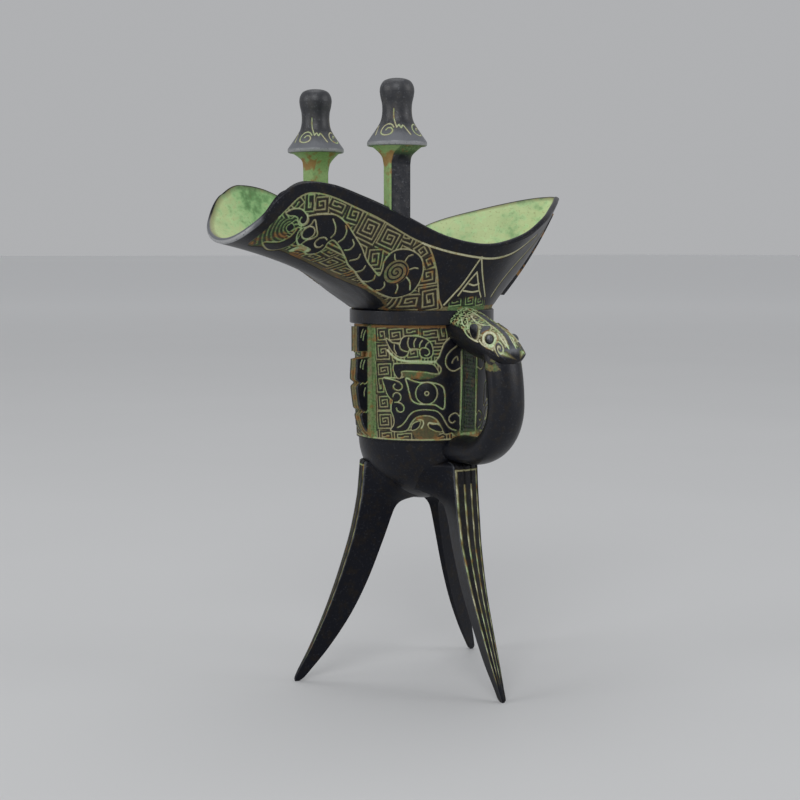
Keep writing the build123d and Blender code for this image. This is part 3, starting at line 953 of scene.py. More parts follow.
# %% [markdown]
# ## The cup
# Under the mouth stands a round cup with a half-round bowl. Its straight zone carries a mask with two
# large eyes: one half of it on each side of the handle, and again on the back. One quarter of the zone is
# drawn flat, u along the wall from a flange and z up. The quarter beside the spout is carved and mirrored
# for the back. The quarter right of the handle is drawn a little narrower, which leaves room for a strip
# of spirals beside the handle.

# %% The mask's drawing
mask_face = [
    (38.2, 131), (34.5, 130), (33.2, 129), (31.6, 127.4), (30.5, 125), (29.7, 122.8), (28.6, 121),
    (30.2, 119.2), (30.4, 117.6), (29.4, 116.3), (26.5, 115.1), (22, 114.8), (17.5, 115.4), (15, 114.9),
    (12, 114.8), (8.2, 114.7), (8.9, 112), (9.7, 109.7), (10.9, 108), (12.1, 106.9), (11.7, 105.2),
    (11.6, 103.3), (12.3, 101.5), (12.8, 99.5), (12.4, 97.6), (11.4, 96.1), (15, 95.9), (17.6, 96.6),
    (19, 99), (20.8, 101), (23.2, 101.8), (26, 101.7), (28.3, 100.7), (29.9, 98.8), (31.2, 96.2),
    (32.2, 95), (34.5, 95.4), (38.2, 96.8),
]
mask_brow = [
    (13.2, 120), (16, 120.2), (21, 120.3), (26, 120.1), (27.5, 119.6), (28.6, 118.2), (29, 117),
    (27, 117.1), (24, 117.6), (19, 117.9), (16, 117.8), (15.4, 117.2), (15.5, 116.2), (15, 115.3),
    (14.2, 115.3), (13.2, 116.6), (12.6, 118.2), (12.7, 119.5),
]
brow_hollow = [
    (16, 117.5), (19, 117.7), (24, 117.4), (27, 116.9), (29, 116.6), (28, 115.8), (25, 115), (21, 115.2),
    (17, 115.6),
]
mask_horn = [
    (9.7, 128.9), (10.9, 128.3), (12, 127.6), (13.6, 127.4), (15, 127), (15.5, 127.9), (15.9, 129),
    (17, 129.9), (19, 130.1), (22, 129.9), (24.5, 129.1), (26.2, 127.6), (26.9, 125.5), (26.8, 123.8),
    (25.8, 122.8), (24, 122.7), (22.9, 123.3), (22.6, 124.6), (22.5, 125.6), (20.5, 126), (18.6, 125.6),
    (18.1, 124.8), (17.8, 123.9), (16.8, 123), (15, 122.9), (13.5, 123.7), (12, 125), (10.9, 126.6),
]
mask_fangs = [
    [(19.3, 96.6), (19.9, 98.4), (21.3, 99.2), (22.4, 99.4), (22.2, 98.2), (21.5, 97.2), (20.4, 96.6)],
    [(25.8, 98.6), (27, 98.3), (29, 98.2), (30.2, 97.4), (30.8, 96), (29, 96), (27, 96.8), (25.9, 97.6)],
]
mask_grooves = [
    [(12.9, 127.1), (12.9, 125.5), (13.7, 123.9)],
    [(14.9, 127), (15.3, 125.8), (16.4, 125), (17.8, 124.7)],
    [(18.4, 129.7), (18, 128), (18.3, 126.4), (18.9, 125.6)],
    [(21, 129.5), (20.3, 128), (20.4, 126.4)],
    [(23.3, 128.7), (22.5, 127.6), (22.3, 126.3)],
    [(25.5, 128), (24.7, 127.2), (24.4, 126.2)],
    [(22.5, 125.4), (23.2, 126), (24.6, 126), (25.7, 125.2), (25.8, 124), (24.9, 123.3), (24.2, 123.5)],
    [(8.6, 114.9), (11, 114.6), (13.3, 114.2), (15, 113.5), (15.9, 112.2), (15.3, 111), (13.9, 110.7),
     (12.7, 111.3), (12.4, 112.2), (13, 112.9)],
    [(12.2, 108.4), (12.5, 109.3), (13.5, 109.8), (14.7, 109.5), (15.3, 108.5), (15.1, 107.3),
     (14.3, 106.6)],
    [(12.9, 106.3), (14.2, 106.3), (15.6, 105.8), (16.5, 104.6), (16.2, 103.3), (15, 102.8),
     (13.9, 103.3), (13.6, 104.2)],
    [(14, 97.2), (15.8, 98.2), (17.3, 99.9), (18.6, 101.8), (20.3, 103.1), (22.8, 103.7), (26, 103.7),
     (28.6, 103.2), (30.4, 101.8), (31.7, 99.8), (33, 97.8), (34.6, 96.6), (36.5, 96)],
    [(36.8, 126.8), (34, 125), (32.2, 122.8), (32, 120.2), (33.3, 118.3), (35.4, 117.6), (38, 118.5)],
    [(34.5, 120.5), (35, 121.7), (36.5, 122.7), (36.9, 121.4)],
    [(38.1, 101), (36.4, 102.3), (34.4, 101.7), (33.5, 100.5), (34, 99.2), (35.1, 98.8), (36, 99.4)],
    [(23, 97), (23.8, 98.6), (23.4, 99.9), (21.8, 100.2)],
    [(25.4, 98.2), (25.9, 99), (27.5, 98.8), (29.5, 98.6)],
]
eye_almond = [
    (17.3, 115), (17.9, 112.5), (18.5, 110), (19.2, 107.6), (20.5, 106.4), (22.5, 105.8), (25.5, 105.7),
    (28, 105.5), (29.6, 104.6), (31, 103.9), (31.7, 104.8), (31.8, 107), (31.7, 109.5), (31.2, 111.5),
    (30, 112.6), (28, 113.3), (25.5, 113.7), (22.5, 113.6), (20, 114.2),
]
eye_centre = (24.9, 109.7)
zone_frets = [
    (7.6, 130.5, 1.6, 1.8, 0), (13.3, 130.5, 3, 2.4, 0), (19.5, 132, 2.4, 1.2, 0), (26, 131.2, 3, 1.4, 0),
    (31, 131.5, 1.5, 2.5, 0), (8, 124.5, 2.6, 2.4, 0), (8.3, 117.8, 2.8, 2.2, 0),
    (6.8, 112.5, 1.4, 2.6, 0), (8.3, 106, 2.4, 2.2, 0), (8.5, 99.4, 2.9, 2.6, 0), (9, 94, 2.6, 1.4, 0),
    (16.3, 94, 3.2, 1.4, 0), (24.3, 94, 3, 1.6, 0), (30.5, 94, 2, 1, 0), (20, 124.3, 1.8, 1.5, 0),
]
strip_levels = (127.0, 121.0, 115.5, 110.0, 104.5, 99.0)
strip_frets = [(42.9, level, 3.4, 2.4, 0) for level in strip_levels]
horn_line = [(10, 125), (12.5, 122.8), (15, 121.6), (20, 121.1), (28, 121)]
strip_edge = [(38.3, 124.5), (38.3, 98)]
eye_radius = 4.0
pupil_radius = 0.7
eye_swell_radius = 3.7
zone_line = 92.8
mouth_arch = (24.8, 97)
mouth_arch_size = (5.6, 5.0)
# each soft edge is given by the values where it starts and where it is complete
zone_start = (92.7, 93.1)
field_left = (4.2, 4.7)
field_right = (38.6, 38.1)
field_top = (133.5, 133.1)
strip_left = (38.7, 39.0)
strip_top = (131.5, 130)
rust_top = (132.6, 133.4)
rust_foot = (96, 93)
smear_side = (33, 39)
smear_top = (97, 93.5)
flange_green = (5, 4)
strip_green = (38.5, 38.8)


def carve_zone(carving):
    """The ground of the zone: spirals, the mask's mouth and the strip beside the handle."""
    u = carving.x
    z = carving.y
    zone = soft_step(z, *zone_start)
    field = zone * soft_step(u, *field_left) * soft_step(u, *field_right) * soft_step(z, *field_top)
    carving.blend(zone, -0.12, 0.75)
    carving.fret(zone_frets, field, pitch=1.25)
    from_arch = ((u - mouth_arch[0]) / mouth_arch_size[0], (z - mouth_arch[1]) / mouth_arch_size[1])
    arch = zone * (np.hypot(*from_arch) < 1)
    carving.blend(arch, -0.16, 0.42)
    edge = np.maximum(soft_step(z, *rust_top), soft_step(z, *rust_foot) * 0.5)
    carving.stain = zone * np.maximum(edge, arch * 0.3)
    strip = zone * soft_step(u, *strip_left) * soft_step(z, *strip_top)
    carving.fret(strip_frets, strip)
    pits = swaying(u, z, 2.7, 1.5, 2.1) * swaying(z, u, 2.3, 1.4, 1.7)
    carving.recess += strip * (0.20 + 0.10 * carving.recess + 0.12 * pits - carving.recess)


def carve_mask(carving):
    """One half of the mask: horn, face, brow, fangs and a large eye."""
    carving.groove(horn_line, wide=0.8)
    carving.plate(mask_horn, high=0.32)
    carving.plate(mask_face, high=0.32)
    carving.groove(brow_hollow, closed=True, wide=0.5, fill=0.6)
    hollow = outline_depth(carving.x, carving.y, smooth_line(brow_hollow, closed=True))
    carving.blend(1 - soft_step(hollow, -0.2, 0.2), -0.05, 0.55)
    carving.plate(mask_brow, high=0.4)
    for points in mask_fangs:
        carving.plate(points, ring=0.3)
    carving.grooves(mask_grooves)
    carving.groove(eye_almond, closed=True, wide=0.55)
    carving.ring(eye_centre, eye_radius)
    carving.ring(eye_centre, pupil_radius)
    from_eye = point_distance(carving.x, carving.y, eye_centre)
    carving.height += 0.45 * np.clip(1 - (from_eye / eye_swell_radius) ** 2, 0, 1)


def carve_cup(u, z):
    """The relief of a quarter of the cup's zone."""
    carving = Carving(u, z)
    carve_zone(carving)
    carve_mask(carving)
    carving.groove(strip_edge)
    carving.blend(soft_step(np.abs(z - zone_line), 0.4, 0.15), -0.05, 1.15)
    smear = soft_step(z, *zone_start) * soft_step(u, *smear_side) * soft_step(z, *smear_top)
    carving.recess = np.maximum(carving.recess, smear * 1.15)
    return carving


# %% Build the cup
zone_foot = (24.3, 92.0)
zone_top = (25.2, 134.1)
bowl_radius = 23.5
bowl_centre_z = 92.0
cup_columns = 190
bowl_rows = 40
zone_rows = 206
bore_rows = 8
bore_top = 130
bore_foot = 94
hollow_rows = 24
tail_mask_width = 0.84
shoulder = [(23.5, 91.9), (23.9, 91.85), (24.2, 91.95)]
spigot = [(24.9, 134.25), (mouth_neck, 134.1), (mouth_neck, mouth_seam), (mouth_bore, mouth_seam)]


def half_circle(radius, start, end, count):
    """Points of the bowl's round, from one angle below the horizon to another, in degrees."""
    angles = np.radians(np.linspace(start, end, count))
    return np.stack([radius * np.cos(angles), bowl_centre_z + radius * np.sin(angles)], axis=1)


def cup_quarter(name, start, end, flange_angle, stretch):
    """One quarter of the cup between two angles around its axis, as a closed wedge."""
    turn = np.radians(np.linspace(start, end, cup_columns))
    profile = np.concatenate(
        [
            half_circle(bowl_radius, -90, -1, bowl_rows),
            shoulder,
            np.linspace(zone_foot, zone_top, zone_rows),
            spigot,
            np.linspace((mouth_bore, bore_top), (mouth_bore, bore_foot), bore_rows),
            half_circle(mouth_bore, 0, -90, hollow_rows),
            [(0, bowl_centre_z - bowl_radius)],
        ]
    )
    flat = np.tile(profile, (cup_columns, 1, 1))
    first = bowl_rows + len(shoulder)
    zone = np.s_[:, first : first + zone_rows]
    u_row = np.abs(np.degrees(turn) - flange_angle) * math.radians(1) * zone_top[0] * stretch
    u = np.tile(u_row[:, None], (1, zone_rows))
    carving = carve_cup(u.ravel(), flat[zone][..., 1].ravel())
    flat[zone][..., 0] += carving.height.reshape(u.shape)
    layers = blank_layers(flat.shape[:2])
    carving.fill(layers, zone, u.shape)
    flanked = np.maximum(soft_step(u, *flange_green), soft_step(u, *strip_green))
    layers["green"][zone] = 0.35 + 0.65 * flanked
    layers["inside"][:, first + zone_rows + 3 : -1] = 1.0
    return wrapped_columns(name, stood_up(flat, turn[:, None]), layers, carved_bronze, "cup")


quarter = cup_quarter("cup_near_spout", 180, 270, 180, 1.0)
cup_quarter("cup_near_tail", 270, 360, 360, 1 / tail_mask_width)
back_quarter = mirrored_copy(quarter, "cup_back_spout", (1, -1, 1), "cup")
mirrored_copy(back_quarter, "cup_back_tail", (-1, 1, 1), "cup")

# %% [markdown]
# ## The beast's head
# The handle hangs from the mouth of a beast. The head is a run of rounded sections that shrink towards a
# blunt snout. Its face is drawn on the unrolled back of the head: the distance from the cup's axis one
# way, and the distance from the crown line the other way. Both halves of the face are the same, so only
# one is drawn.

# %% The face's drawing
# distance from the axis, half width, top and underside of each section
head_sections = [
    (22.6, 7.4, 141.0, 127.4),
    (30.0, 7.8, 139.6, 124.2),
    (40.0, 8.1, 135.5, 121.6),
    (47.2, 7.8, 132.0, 119.8),
    (50.6, 7.0, 128.7, 120.2),
    (52.1, 5.8, 126.8, 121.6),
]
face_eye = (46.2, 6.5)
face_nostril = (50.7, 5.3)
nostril_pitch = 1.25
# each soft edge is given by the values where it starts and where it is complete
eye_socket = (2.9, 3.3)
eye_hollow = (1.75, 2.0)
nostril_edge = (2.0, 2.3)
crust_back = (21, 26)
crust_front = (51.9, 51.2)
crust_thick = (41, 46)
snout_taper = (46.5, 51)
ridge_side = (1.15, 0.8)
ridge_start = (31, 36)
nape_green = (34, 26)
crust_half = 9.4
snout_narrowing = 2.4
eyeball_radius = 1.5
face_ear = [(36.3, 7.2), (37.4, 5.5), (39.3, 5.6), (41.1, 7.9), (41.4, 9.6), (39.8, 10.2), (37.8, 9.2)]
face_horn = [(41.5, 6.7), (41.0, 4.6), (41.9, 2.8), (43.0, 2.6), (43.6, 4.4), (42.9, 6.2), (42.3, 7.2)]
face_lines = [
    [(28, 1.2), (36, 1.25), (44, 1.3), (49.5, 1.5), (52, 1.7)],
    [(33.4, 9.3), (36.3, 10.6), (39.6, 10.7), (42.2, 10.2)],
    [(31.2, 6.8), (32.4, 8.1), (33.8, 8.4)],
    [(32.4, 5.2), (34.2, 6.6), (35.4, 8.6)],
    [(33.5, 3.6), (36.4, 4.4), (39.6, 3.8), (41.6, 1.6)],
    [(46.6, 2.3), (48.6, 2.7), (50.2, 2.4), (51.4, 1.8)],
    [(42.6, 9.6), (44.8, 9.9), (47.2, 9.3), (49.2, 8.2)],
]


def carve_head(reach, side):
    """The relief of the face, for the distance from the axis and from the crown line."""
    carving = Carving(reach, side)
    edge = crust_half - snout_narrowing * soft_step(reach, *snout_taper)
    crusted = soft_step(reach, *crust_back) * soft_step(side, edge + 1.0, edge)
    crusted *= soft_step(reach, *crust_front)
    pits = swaying(reach, side, 3.1, 1.7, 2.3) * swaying(side, reach, 2.9, 1.3, 1.9)
    least = 0.1 + 0.75 * soft_step(reach, *crust_thick)
    crust = np.maximum(least, 1.25 * soft_step(pits, -0.35, 0.15))
    carving.blend(crusted, -0.15 * soft_step(pits, 0.1, -0.4), crust)
    ridge = soft_step(side, *ridge_side) * soft_step(reach, *ridge_start)
    carving.blend(ridge, 0.25, 0.04)
    for points in (face_ear, face_horn):
        depth = outline_depth(reach, side, smooth_line(points, closed=True))
        carving.blend(1 - soft_step(depth, 0.3, 0.7), -0.2, 1.4)
        carving.blend(1 - soft_step(depth, -0.15, 0.15), 0.55, 0.1)
    eye = point_distance(reach, side, face_eye)
    carving.blend(1 - soft_step(eye, *eye_socket), 0.25, 1.6)
    carving.blend(1 - soft_step(eye, *eye_hollow), -0.35, 0.05)
    eyeball = np.clip(1 - (eye / eyeball_radius) ** 2, 0, 1)
    carving.height += eyeball_radius * np.sqrt(eyeball)
    nose, wave = spiral(reach, side, face_nostril, nostril_pitch)
    wave = soft_step(wave, 0.35, 0.65)
    carving.blend(1 - soft_step(nose, *nostril_edge), 0.3 - 0.4 * wave, 0.1 + 1.4 * wave)
    carving.grooves(face_lines, wide=0.5, fill=1.6)
    carving.stain = soft_step(np.abs(eye - 3.2), 0.6, 0.2) * 0.8
    carving.green = 0.35 + 0.65 * soft_step(reach, *nape_green)
    return carving


# %% Build the head
crown_columns = 170
under_columns = 40
head_middle = (0, -38, 128)
# each soft edge is given by the values where it starts and where it is complete
brow_side = (11, 5)
brow_start = (30, 36)
# the eyeball's painted glint
eye_shine = (1.3, 0.3)


def section_arc(half_width, crown, middle, count):
    """One arc of a head section: sideways places, heights and distances from the crown along the arc."""
    rise = abs(crown - middle)
    radius = (half_width**2 + rise**2) / (2 * rise)
    half_angle = math.asin(min(1, half_width / radius))
    if rise > half_width:
        half_angle = math.pi - half_angle
    angles = np.linspace(-half_angle, half_angle, count)
    upwards = 1 if crown > middle else -1
    return radius * np.sin(angles), crown - upwards * radius * (1 - np.cos(angles)), radius * angles


def build_head(name):
    """The head as one closed piece; its back end stays inside the cup's wall."""
    rows = smooth_line(head_sections, steps=28)
    places = []
    sides = []
    for reach, half_width, top, under in rows:
        middle = (top + under) / 2
        top_x, top_z, side = section_arc(half_width, top, middle, crown_columns)
        low_x, low_z, _ = section_arc(half_width, under, middle, under_columns)
        row_x = np.concatenate([top_x, low_x[-2::-1]])
        row_z = np.concatenate([top_z, low_z[-2::-1]])
        places.append(np.stack([row_x, np.full(row_x.shape, -reach), row_z], axis=1))
        sides.append(np.abs(side))
    places = np.array(places)
    sides = np.array(sides)
    crown = np.s_[:, :crown_columns]
    reach = np.tile(rows[:, :1], (1, crown_columns))
    carving = carve_head(reach.ravel(), sides.ravel())
    normal = unit_normals(places)[crown]
    normal *= np.sign((normal * (places[crown] - head_middle)).sum(axis=2))[..., None]
    fade = soft_step(np.arange(len(rows)), len(rows) - 1, len(rows) - 5)[:, None]
    fade = fade * soft_step(np.abs(np.linspace(-1, 1, crown_columns)), 1, 0.95)[None]
    places[crown] += normal * (carving.height.reshape(sides.shape) * fade)[..., None]
    layers = blank_layers(places.shape[:2])
    carving.fill(layers, crown, sides.shape)
    eye = point_distance(reach, sides, face_eye)
    wear_and_sheen_amount = soft_step(sides, *brow_side) * soft_step(reach, *brow_start) * 0.8
    # a painted glint on the eyeball, next to the rubbed brow
    layers["wear"][crown] = np.maximum(wear_and_sheen_amount, soft_step(eye, *eye_shine) * 1.25)
    return wrapped_grid(name, places, layers, carved_bronze, "beast_head")


build_head("beast_face")

# %% [markdown]
# ## The legs
# Three sabre-shaped legs spread outwards. Each has a broad outer face with four flutes, in which thin
# lines of patina have stayed, and smooth sides that meet in a narrow inner edge. Each grid column runs up
# one leg until it dips into the bowl, so that the leg's top follows the bowl by itself.

# %% Build the legs
# height, outer edge, inner edge, width of the outer face, width of the inner edge
side_leg = [
    (0.0, 48.9, 46.0, 2.0, 1.0),
    (4.0, 47.2, 42.4, 2.6, 1.1),
    (13.0, 42.6, 35.0, 4.3, 1.3),
    (25.0, 37.4, 27.0, 5.9, 1.6),
    (38.0, 32.6, 20.5, 7.4, 1.9),
    (53.0, 27.9, 14.7, 9.0, 2.4),
    (62.0, 25.8, 11.6, 9.6, 3.2),
    (67.0, 24.9, 9.7, 9.8, 5.0),
    (70.0, 24.4, 7.4, 9.9, 8.0),
    (75.0, 23.9, 4.0, 10.0, 13.0),
    (82.6, 23.3, 2.0, 10.2, 19.0),
]
handle_leg = [
    (0.0, 48.9, 46.0, 2.0, 1.0),
    (4.0, 47.3, 43.6, 2.6, 1.1),
    (13.0, 43.8, 37.6, 4.3, 1.3),
    (25.0, 39.3, 31.2, 5.9, 1.6),
    (38.0, 34.8, 25.0, 7.6, 1.9),
    (53.0, 30.9, 19.9, 9.6, 2.4),
    (62.0, 29.5, 18.1, 10.4, 3.4),
    (68.0, 28.7, 16.6, 10.7, 5.6),
    (72.0, 28.3, 14.0, 10.8, 9.0),
    (76.0, 27.9, 9.0, 10.9, 13.0),
    (82.6, 27.4, 4.0, 11.1, 18.0),
]
flute_places = (-0.42, -0.14, 0.14, 0.42)
flute_edge = (0.050, 0.018)
flute_deep = 0.05
face_crown = 0.1
frame_level = 81.5
outer_flute_top = 81.3
middle_flute_top = 76.2
toe_high = 1.8
leg_levels = 500
leg_rows = 150
top_rows = 8
face_columns = 96
side_columns = 14
sunk_radius = bowl_radius - 0.7
blend_radius = 7.5
# each soft edge is given by the values where it starts and where it is complete
sweep_start = (0, 0.35)
frame_edge = (0.4, 0.2)
lines_start = (3, 12)
film_start = (4, 30)
arris_edge = (0.9, 0.985)
leg_bronze = bronze("leg_bronze", sheen_rough=0.42, gloss=0.16)


def leg_columns():
    """Places around a leg's section: where each is across (-1 to 1) and how far in (0 to 1)."""
    face = np.linspace(-1, 1, face_columns)
    inwards = np.linspace(0, 1, side_columns)[1:]
    around = np.concatenate([face, np.ones(side_columns - 1), -np.ones(side_columns)])
    depth = np.concatenate([0 * face, inwards, inwards[::-1], [0]])
    return around, depth


def leg_walls(sections, around, depth, flute):
    """The levels of a leg, and the reach and the place across of every column at each of them."""
    fine = smooth_line(sections, steps=24)
    levels = np.linspace(0, sections[-1][0], leg_levels)
    outer, inner, face, edge = (np.interp(levels, fine[:, 0], size)[:, None] for size in fine.T[1:])
    half = (face * (1 - depth) + edge * depth) / 2 * around
    crown = face_crown * face * around**2
    cut = flute_deep * face * flute
    reach = (outer - crown - cut) * (1 - depth) + inner * depth
    toe = np.clip(1 - levels / toe_high, 0, 1)[:, None]
    toe_size = 0.5 + 0.5 * np.sqrt(1 - toe**2)
    toe_middle = (outer + inner) / 2
    return levels, toe_middle + (reach - toe_middle) * toe_size, half * toe_size


def swept_sides(reach, half, from_centre, around, depth):
    """The same places with the leg's sides swept apart where they come near the bowl."""
    gap = np.clip(from_centre - bowl_radius, 0, blend_radius)
    swell = blend_radius - np.sqrt(blend_radius**2 - (blend_radius - gap) ** 2)
    from_axis = np.hypot(reach, half)
    bearing = np.arctan2(half, reach) + np.sign(around) * swell * soft_step(depth, *sweep_start) / from_axis
    return from_axis * np.cos(bearing), from_axis * np.sin(bearing)


def leg_column(levels, reach, half, from_centre, depth):
    """One column of a leg, up to where it dips into the bowl, or with a rounded end where it doesn't."""
    sunk = np.nonzero(from_centre < sunk_radius)[0]
    last = sunk[0] if len(sunk) else len(levels) - 1
    heights = levels[last] * (1 - (1 - np.linspace(0, 1, leg_rows)) ** 1.5)
    far = np.interp(heights, levels, reach)
    wide = np.interp(heights, levels, half)
    open_gap = max(0, from_centre[last] - sunk_radius)
    rise = open_gap * (0.3 + 0.65 * soft_step(depth, *sweep_start))
    top = heights[-1] + rise
    shrink = math.sqrt(sunk_radius**2 - (top - bowl_centre_z) ** 2) / math.hypot(far[-1], wide[-1])
    rounding = np.linspace(0, math.pi / 2, top_rows + 1)[1:]
    shares = 1 - (1 - min(1, shrink)) * (1 - np.cos(rounding))
    far = np.append(far, far[-1] * shares)
    wide = np.append(wide, wide[-1] * shares)
    return np.stack([far, wide, np.append(heights, heights[-1] + rise * np.sin(rounding))], axis=1)


def build_leg(name, angle, sections, node):
    """A sabre leg whose columns follow the bowl, turned to its place around the cup."""
    around, depth = leg_columns()
    on_face = (depth == 0) & (np.abs(around) < 0.95)
    nearest = np.min([np.abs(around / 2 - place) for place in flute_places], axis=0)
    flute = np.where(on_face, soft_step(nearest, *flute_edge), 0)
    levels, reach, half = leg_walls(sections, around, depth, flute)
    from_centre = np.sqrt(reach**2 + half**2 + (levels[:, None] - bowl_centre_z) ** 2)
    reach, half = swept_sides(reach, half, from_centre, around, depth)
    columns = zip(reach.T, half.T, from_centre.T, depth)
    places = np.stack([leg_column(levels, *column) for column in columns], axis=1)
    height = places[..., 2]
    frame_line = soft_step(np.abs(height - frame_level), *frame_edge) * on_face
    flute_top = np.where(np.abs(around) > 0.6, outer_flute_top, middle_flute_top)
    lined = flute * soft_step(height, flute_top + 0.4, flute_top) * soft_step(height, *lines_start)
    lined = lined * (0.95 + 0.4 * np.sin(0.8 * height + 9 * around) * np.sin(0.31 * height + 4 * around))
    film = on_face * 0.12 * soft_step(height, *film_start)
    arris = np.where(depth == 0, soft_step(np.abs(around), *arris_edge), 0)
    layers = {
        "recess": np.maximum.reduce([lined * 1.35, frame_line * 1.1, film]),
        "wear": arris * 0.75 + 0 * height,
        "stain": flute * 0.25 + 0 * height,
        "green": np.full(height.shape, 0.3),
    }
    return wrapped_grid(name, turned(places, angle), layers, leg_bronze, node, 50.0)


build_leg("sabre_leg_handle_side", -90, handle_leg, "leg_handle_side")
build_leg("sabre_leg_spout_side", 153, side_leg, "leg_spout_side")
build_leg("sabre_leg_tail_side", 27, side_leg, "leg_tail_side")

# %% [markdown]
# ## The caps
# Each post ends in a cap: a cone like a small hat with a rounded knob on it. Curls and strokes are cut
# into the cone, four times around. A turned piece is easiest as a profile that goes once around the axis.

# %% Build the caps
post_place = (-30.2, 25.16)
cap_base = 196.6
cap_top = 220.0
cap_columns = 240
bell_rows = 92
# distance from the cap's axis and height above its base
cap_foot = [(0, 0), (5, 0), (9.6, 0), (10.2, 0.15), (10.4, 0.5), (10.4, 1.2)]
# distance from the cap's axis and height above the floor
cap_side = [
    (10.3, 198.2), (9.1, 199.9), (7.9, 201.6), (6.7, 203.4), (5.8, 205.0), (5.3, 206.8), (5.1, 209.0),
    (5.25, 211.4), (5.75, 213.6), (6.0, 215.4),
]
cap_dome = [
    (6.0, 215.4), (5.9, 216.6), (5.5, 217.8), (4.7, 218.9), (3.6, 219.5), (2.3, 219.85), (1.1, 219.97),
]
motif_count = 4
motif_length = 12
cap_motif = [
    [(5.9, 5.6), (5.0, 6.7), (3.4, 7.0), (1.8, 6.2), (1.2, 4.6), (1.8, 3.0), (3.4, 2.3), (5.0, 2.8),
     (5.6, 4.2), (4.9, 5.3), (3.7, 5.3), (3.1, 4.5)],
    [(5.4, 12.4), (5.5, 9.6), (6.3, 7.4), (7.0, 5.6)],
    [(7.0, 5.6), (7.9, 6.6), (8.6, 5.4), (9.5, 6.4), (10.6, 4.6), (11.4, 2.6)],
]
# a cap's underside is out of reach of hands
underside_rows = 3
# each soft edge is given by the values where it starts and where it is complete
# the skirt, brim and knob values below give a painted sheen
skirt_shine = (206, 197.5)
brim_shine = (198.4, 197.4)
knob_shine = (214, 219)
cap_bronze = bronze("cap_bronze", sheen_rough=0.44, gloss=0.75, mottle=0.7)


def build_cap(name, side, node):
    """A turned cap with a bell-shaped side; the curls are drawn on the unrolled side."""
    curve = smooth_line(cap_side, steps=12)
    lengths = lengths_along(curve)
    bell = spread(curve, lengths, bell_rows)
    foot = [(far, cap_base + up) for far, up in cap_foot]
    profile = np.concatenate([foot, bell, smooth_line(cap_dome, steps=4)[1:], [(0, cap_top)]])
    carved = slice(len(foot), len(foot) + len(bell))
    turn = np.linspace(0, 2 * math.pi, cap_columns)
    u = np.tile(turn / (2 * math.pi) * motif_count % 1 * motif_length, (len(bell), 1))
    v = np.tile(np.linspace(0, lengths[-1], len(bell))[:, None], (1, cap_columns))
    carving = Carving(u.ravel(), v.ravel())
    carving.grooves(cap_motif, wide=0.55)
    radius = np.tile(profile[:, :1], (1, cap_columns))
    radius[carved] += carving.height.reshape(u.shape) * 0.8
    height = np.tile(profile[:, 1:], (1, cap_columns))
    x = post_place[0] + radius * np.cos(turn)
    y = side * post_place[1] + radius * np.sin(turn)
    layers = blank_layers(radius.shape)
    carving.fill(layers, carved, u.shape)
    layers["green"][carved] = 0.25
    layers["recess"][:underside_rows] = 0.8
    layers["green"][:underside_rows] = 1.0
    # painted sheen: the skirt, its brim and the top of the knob are painted paler, as lit places, over the
    # cap's even worn grey
    skirt = 0.62 * soft_step(height, *skirt_shine) + 0.3 * soft_step(height, *brim_shine)
    wear = 0.43 + skirt + 0.1 * soft_step(height, *knob_shine)
    layers["wear"][underside_rows:] = wear[underside_rows:]
    return wrapped_grid(name, np.stack([x, y, height], axis=2), layers, cap_bronze, node)


build_cap("cap_near_carved", -1, "cap_near")
build_cap("cap_far_carved", 1, "cap_far")

# %% [markdown]
# ## The posts
# The posts are flat bars that spread into a round head under each cap. The sides that face the spout and
# the inside are green, and the outer side is rubbed dark. Each grid column starts at the rim's slope, and
# the inner columns reach a little lower, as a hook behind the rim.

# %% Build the posts
post_rows = 64
post_columns = 161
post_foot = 172
post_half_wide = 4.7
post_half_deep = 2.8
post_taper = 0.12
post_shift = 0.6
post_head_foot = 190.6
post_head_radius = 8.75
post_squareness = 0.25
hook_deep = 5.4
post_sink = 0.6
stain_level = 192.5
# each soft edge is given by the values where it starts and where it is complete
spout_side = (-33.9, -34.35)
axis_side = (-2.9, -3.3)
cap_shade = (192.5, 195.5)
head_rounding = (0, 0.6)
hook_edge = (-0.5, 1.5)
slant_run = (2.2, -3.4)
stain_edge = (3.5, 1)


def squared(wave, squareness):
    """A sine or cosine with flat tops, for a rounded rectangle; a squareness of 1 leaves it round."""
    return np.sign(wave) * np.abs(wave) ** squareness


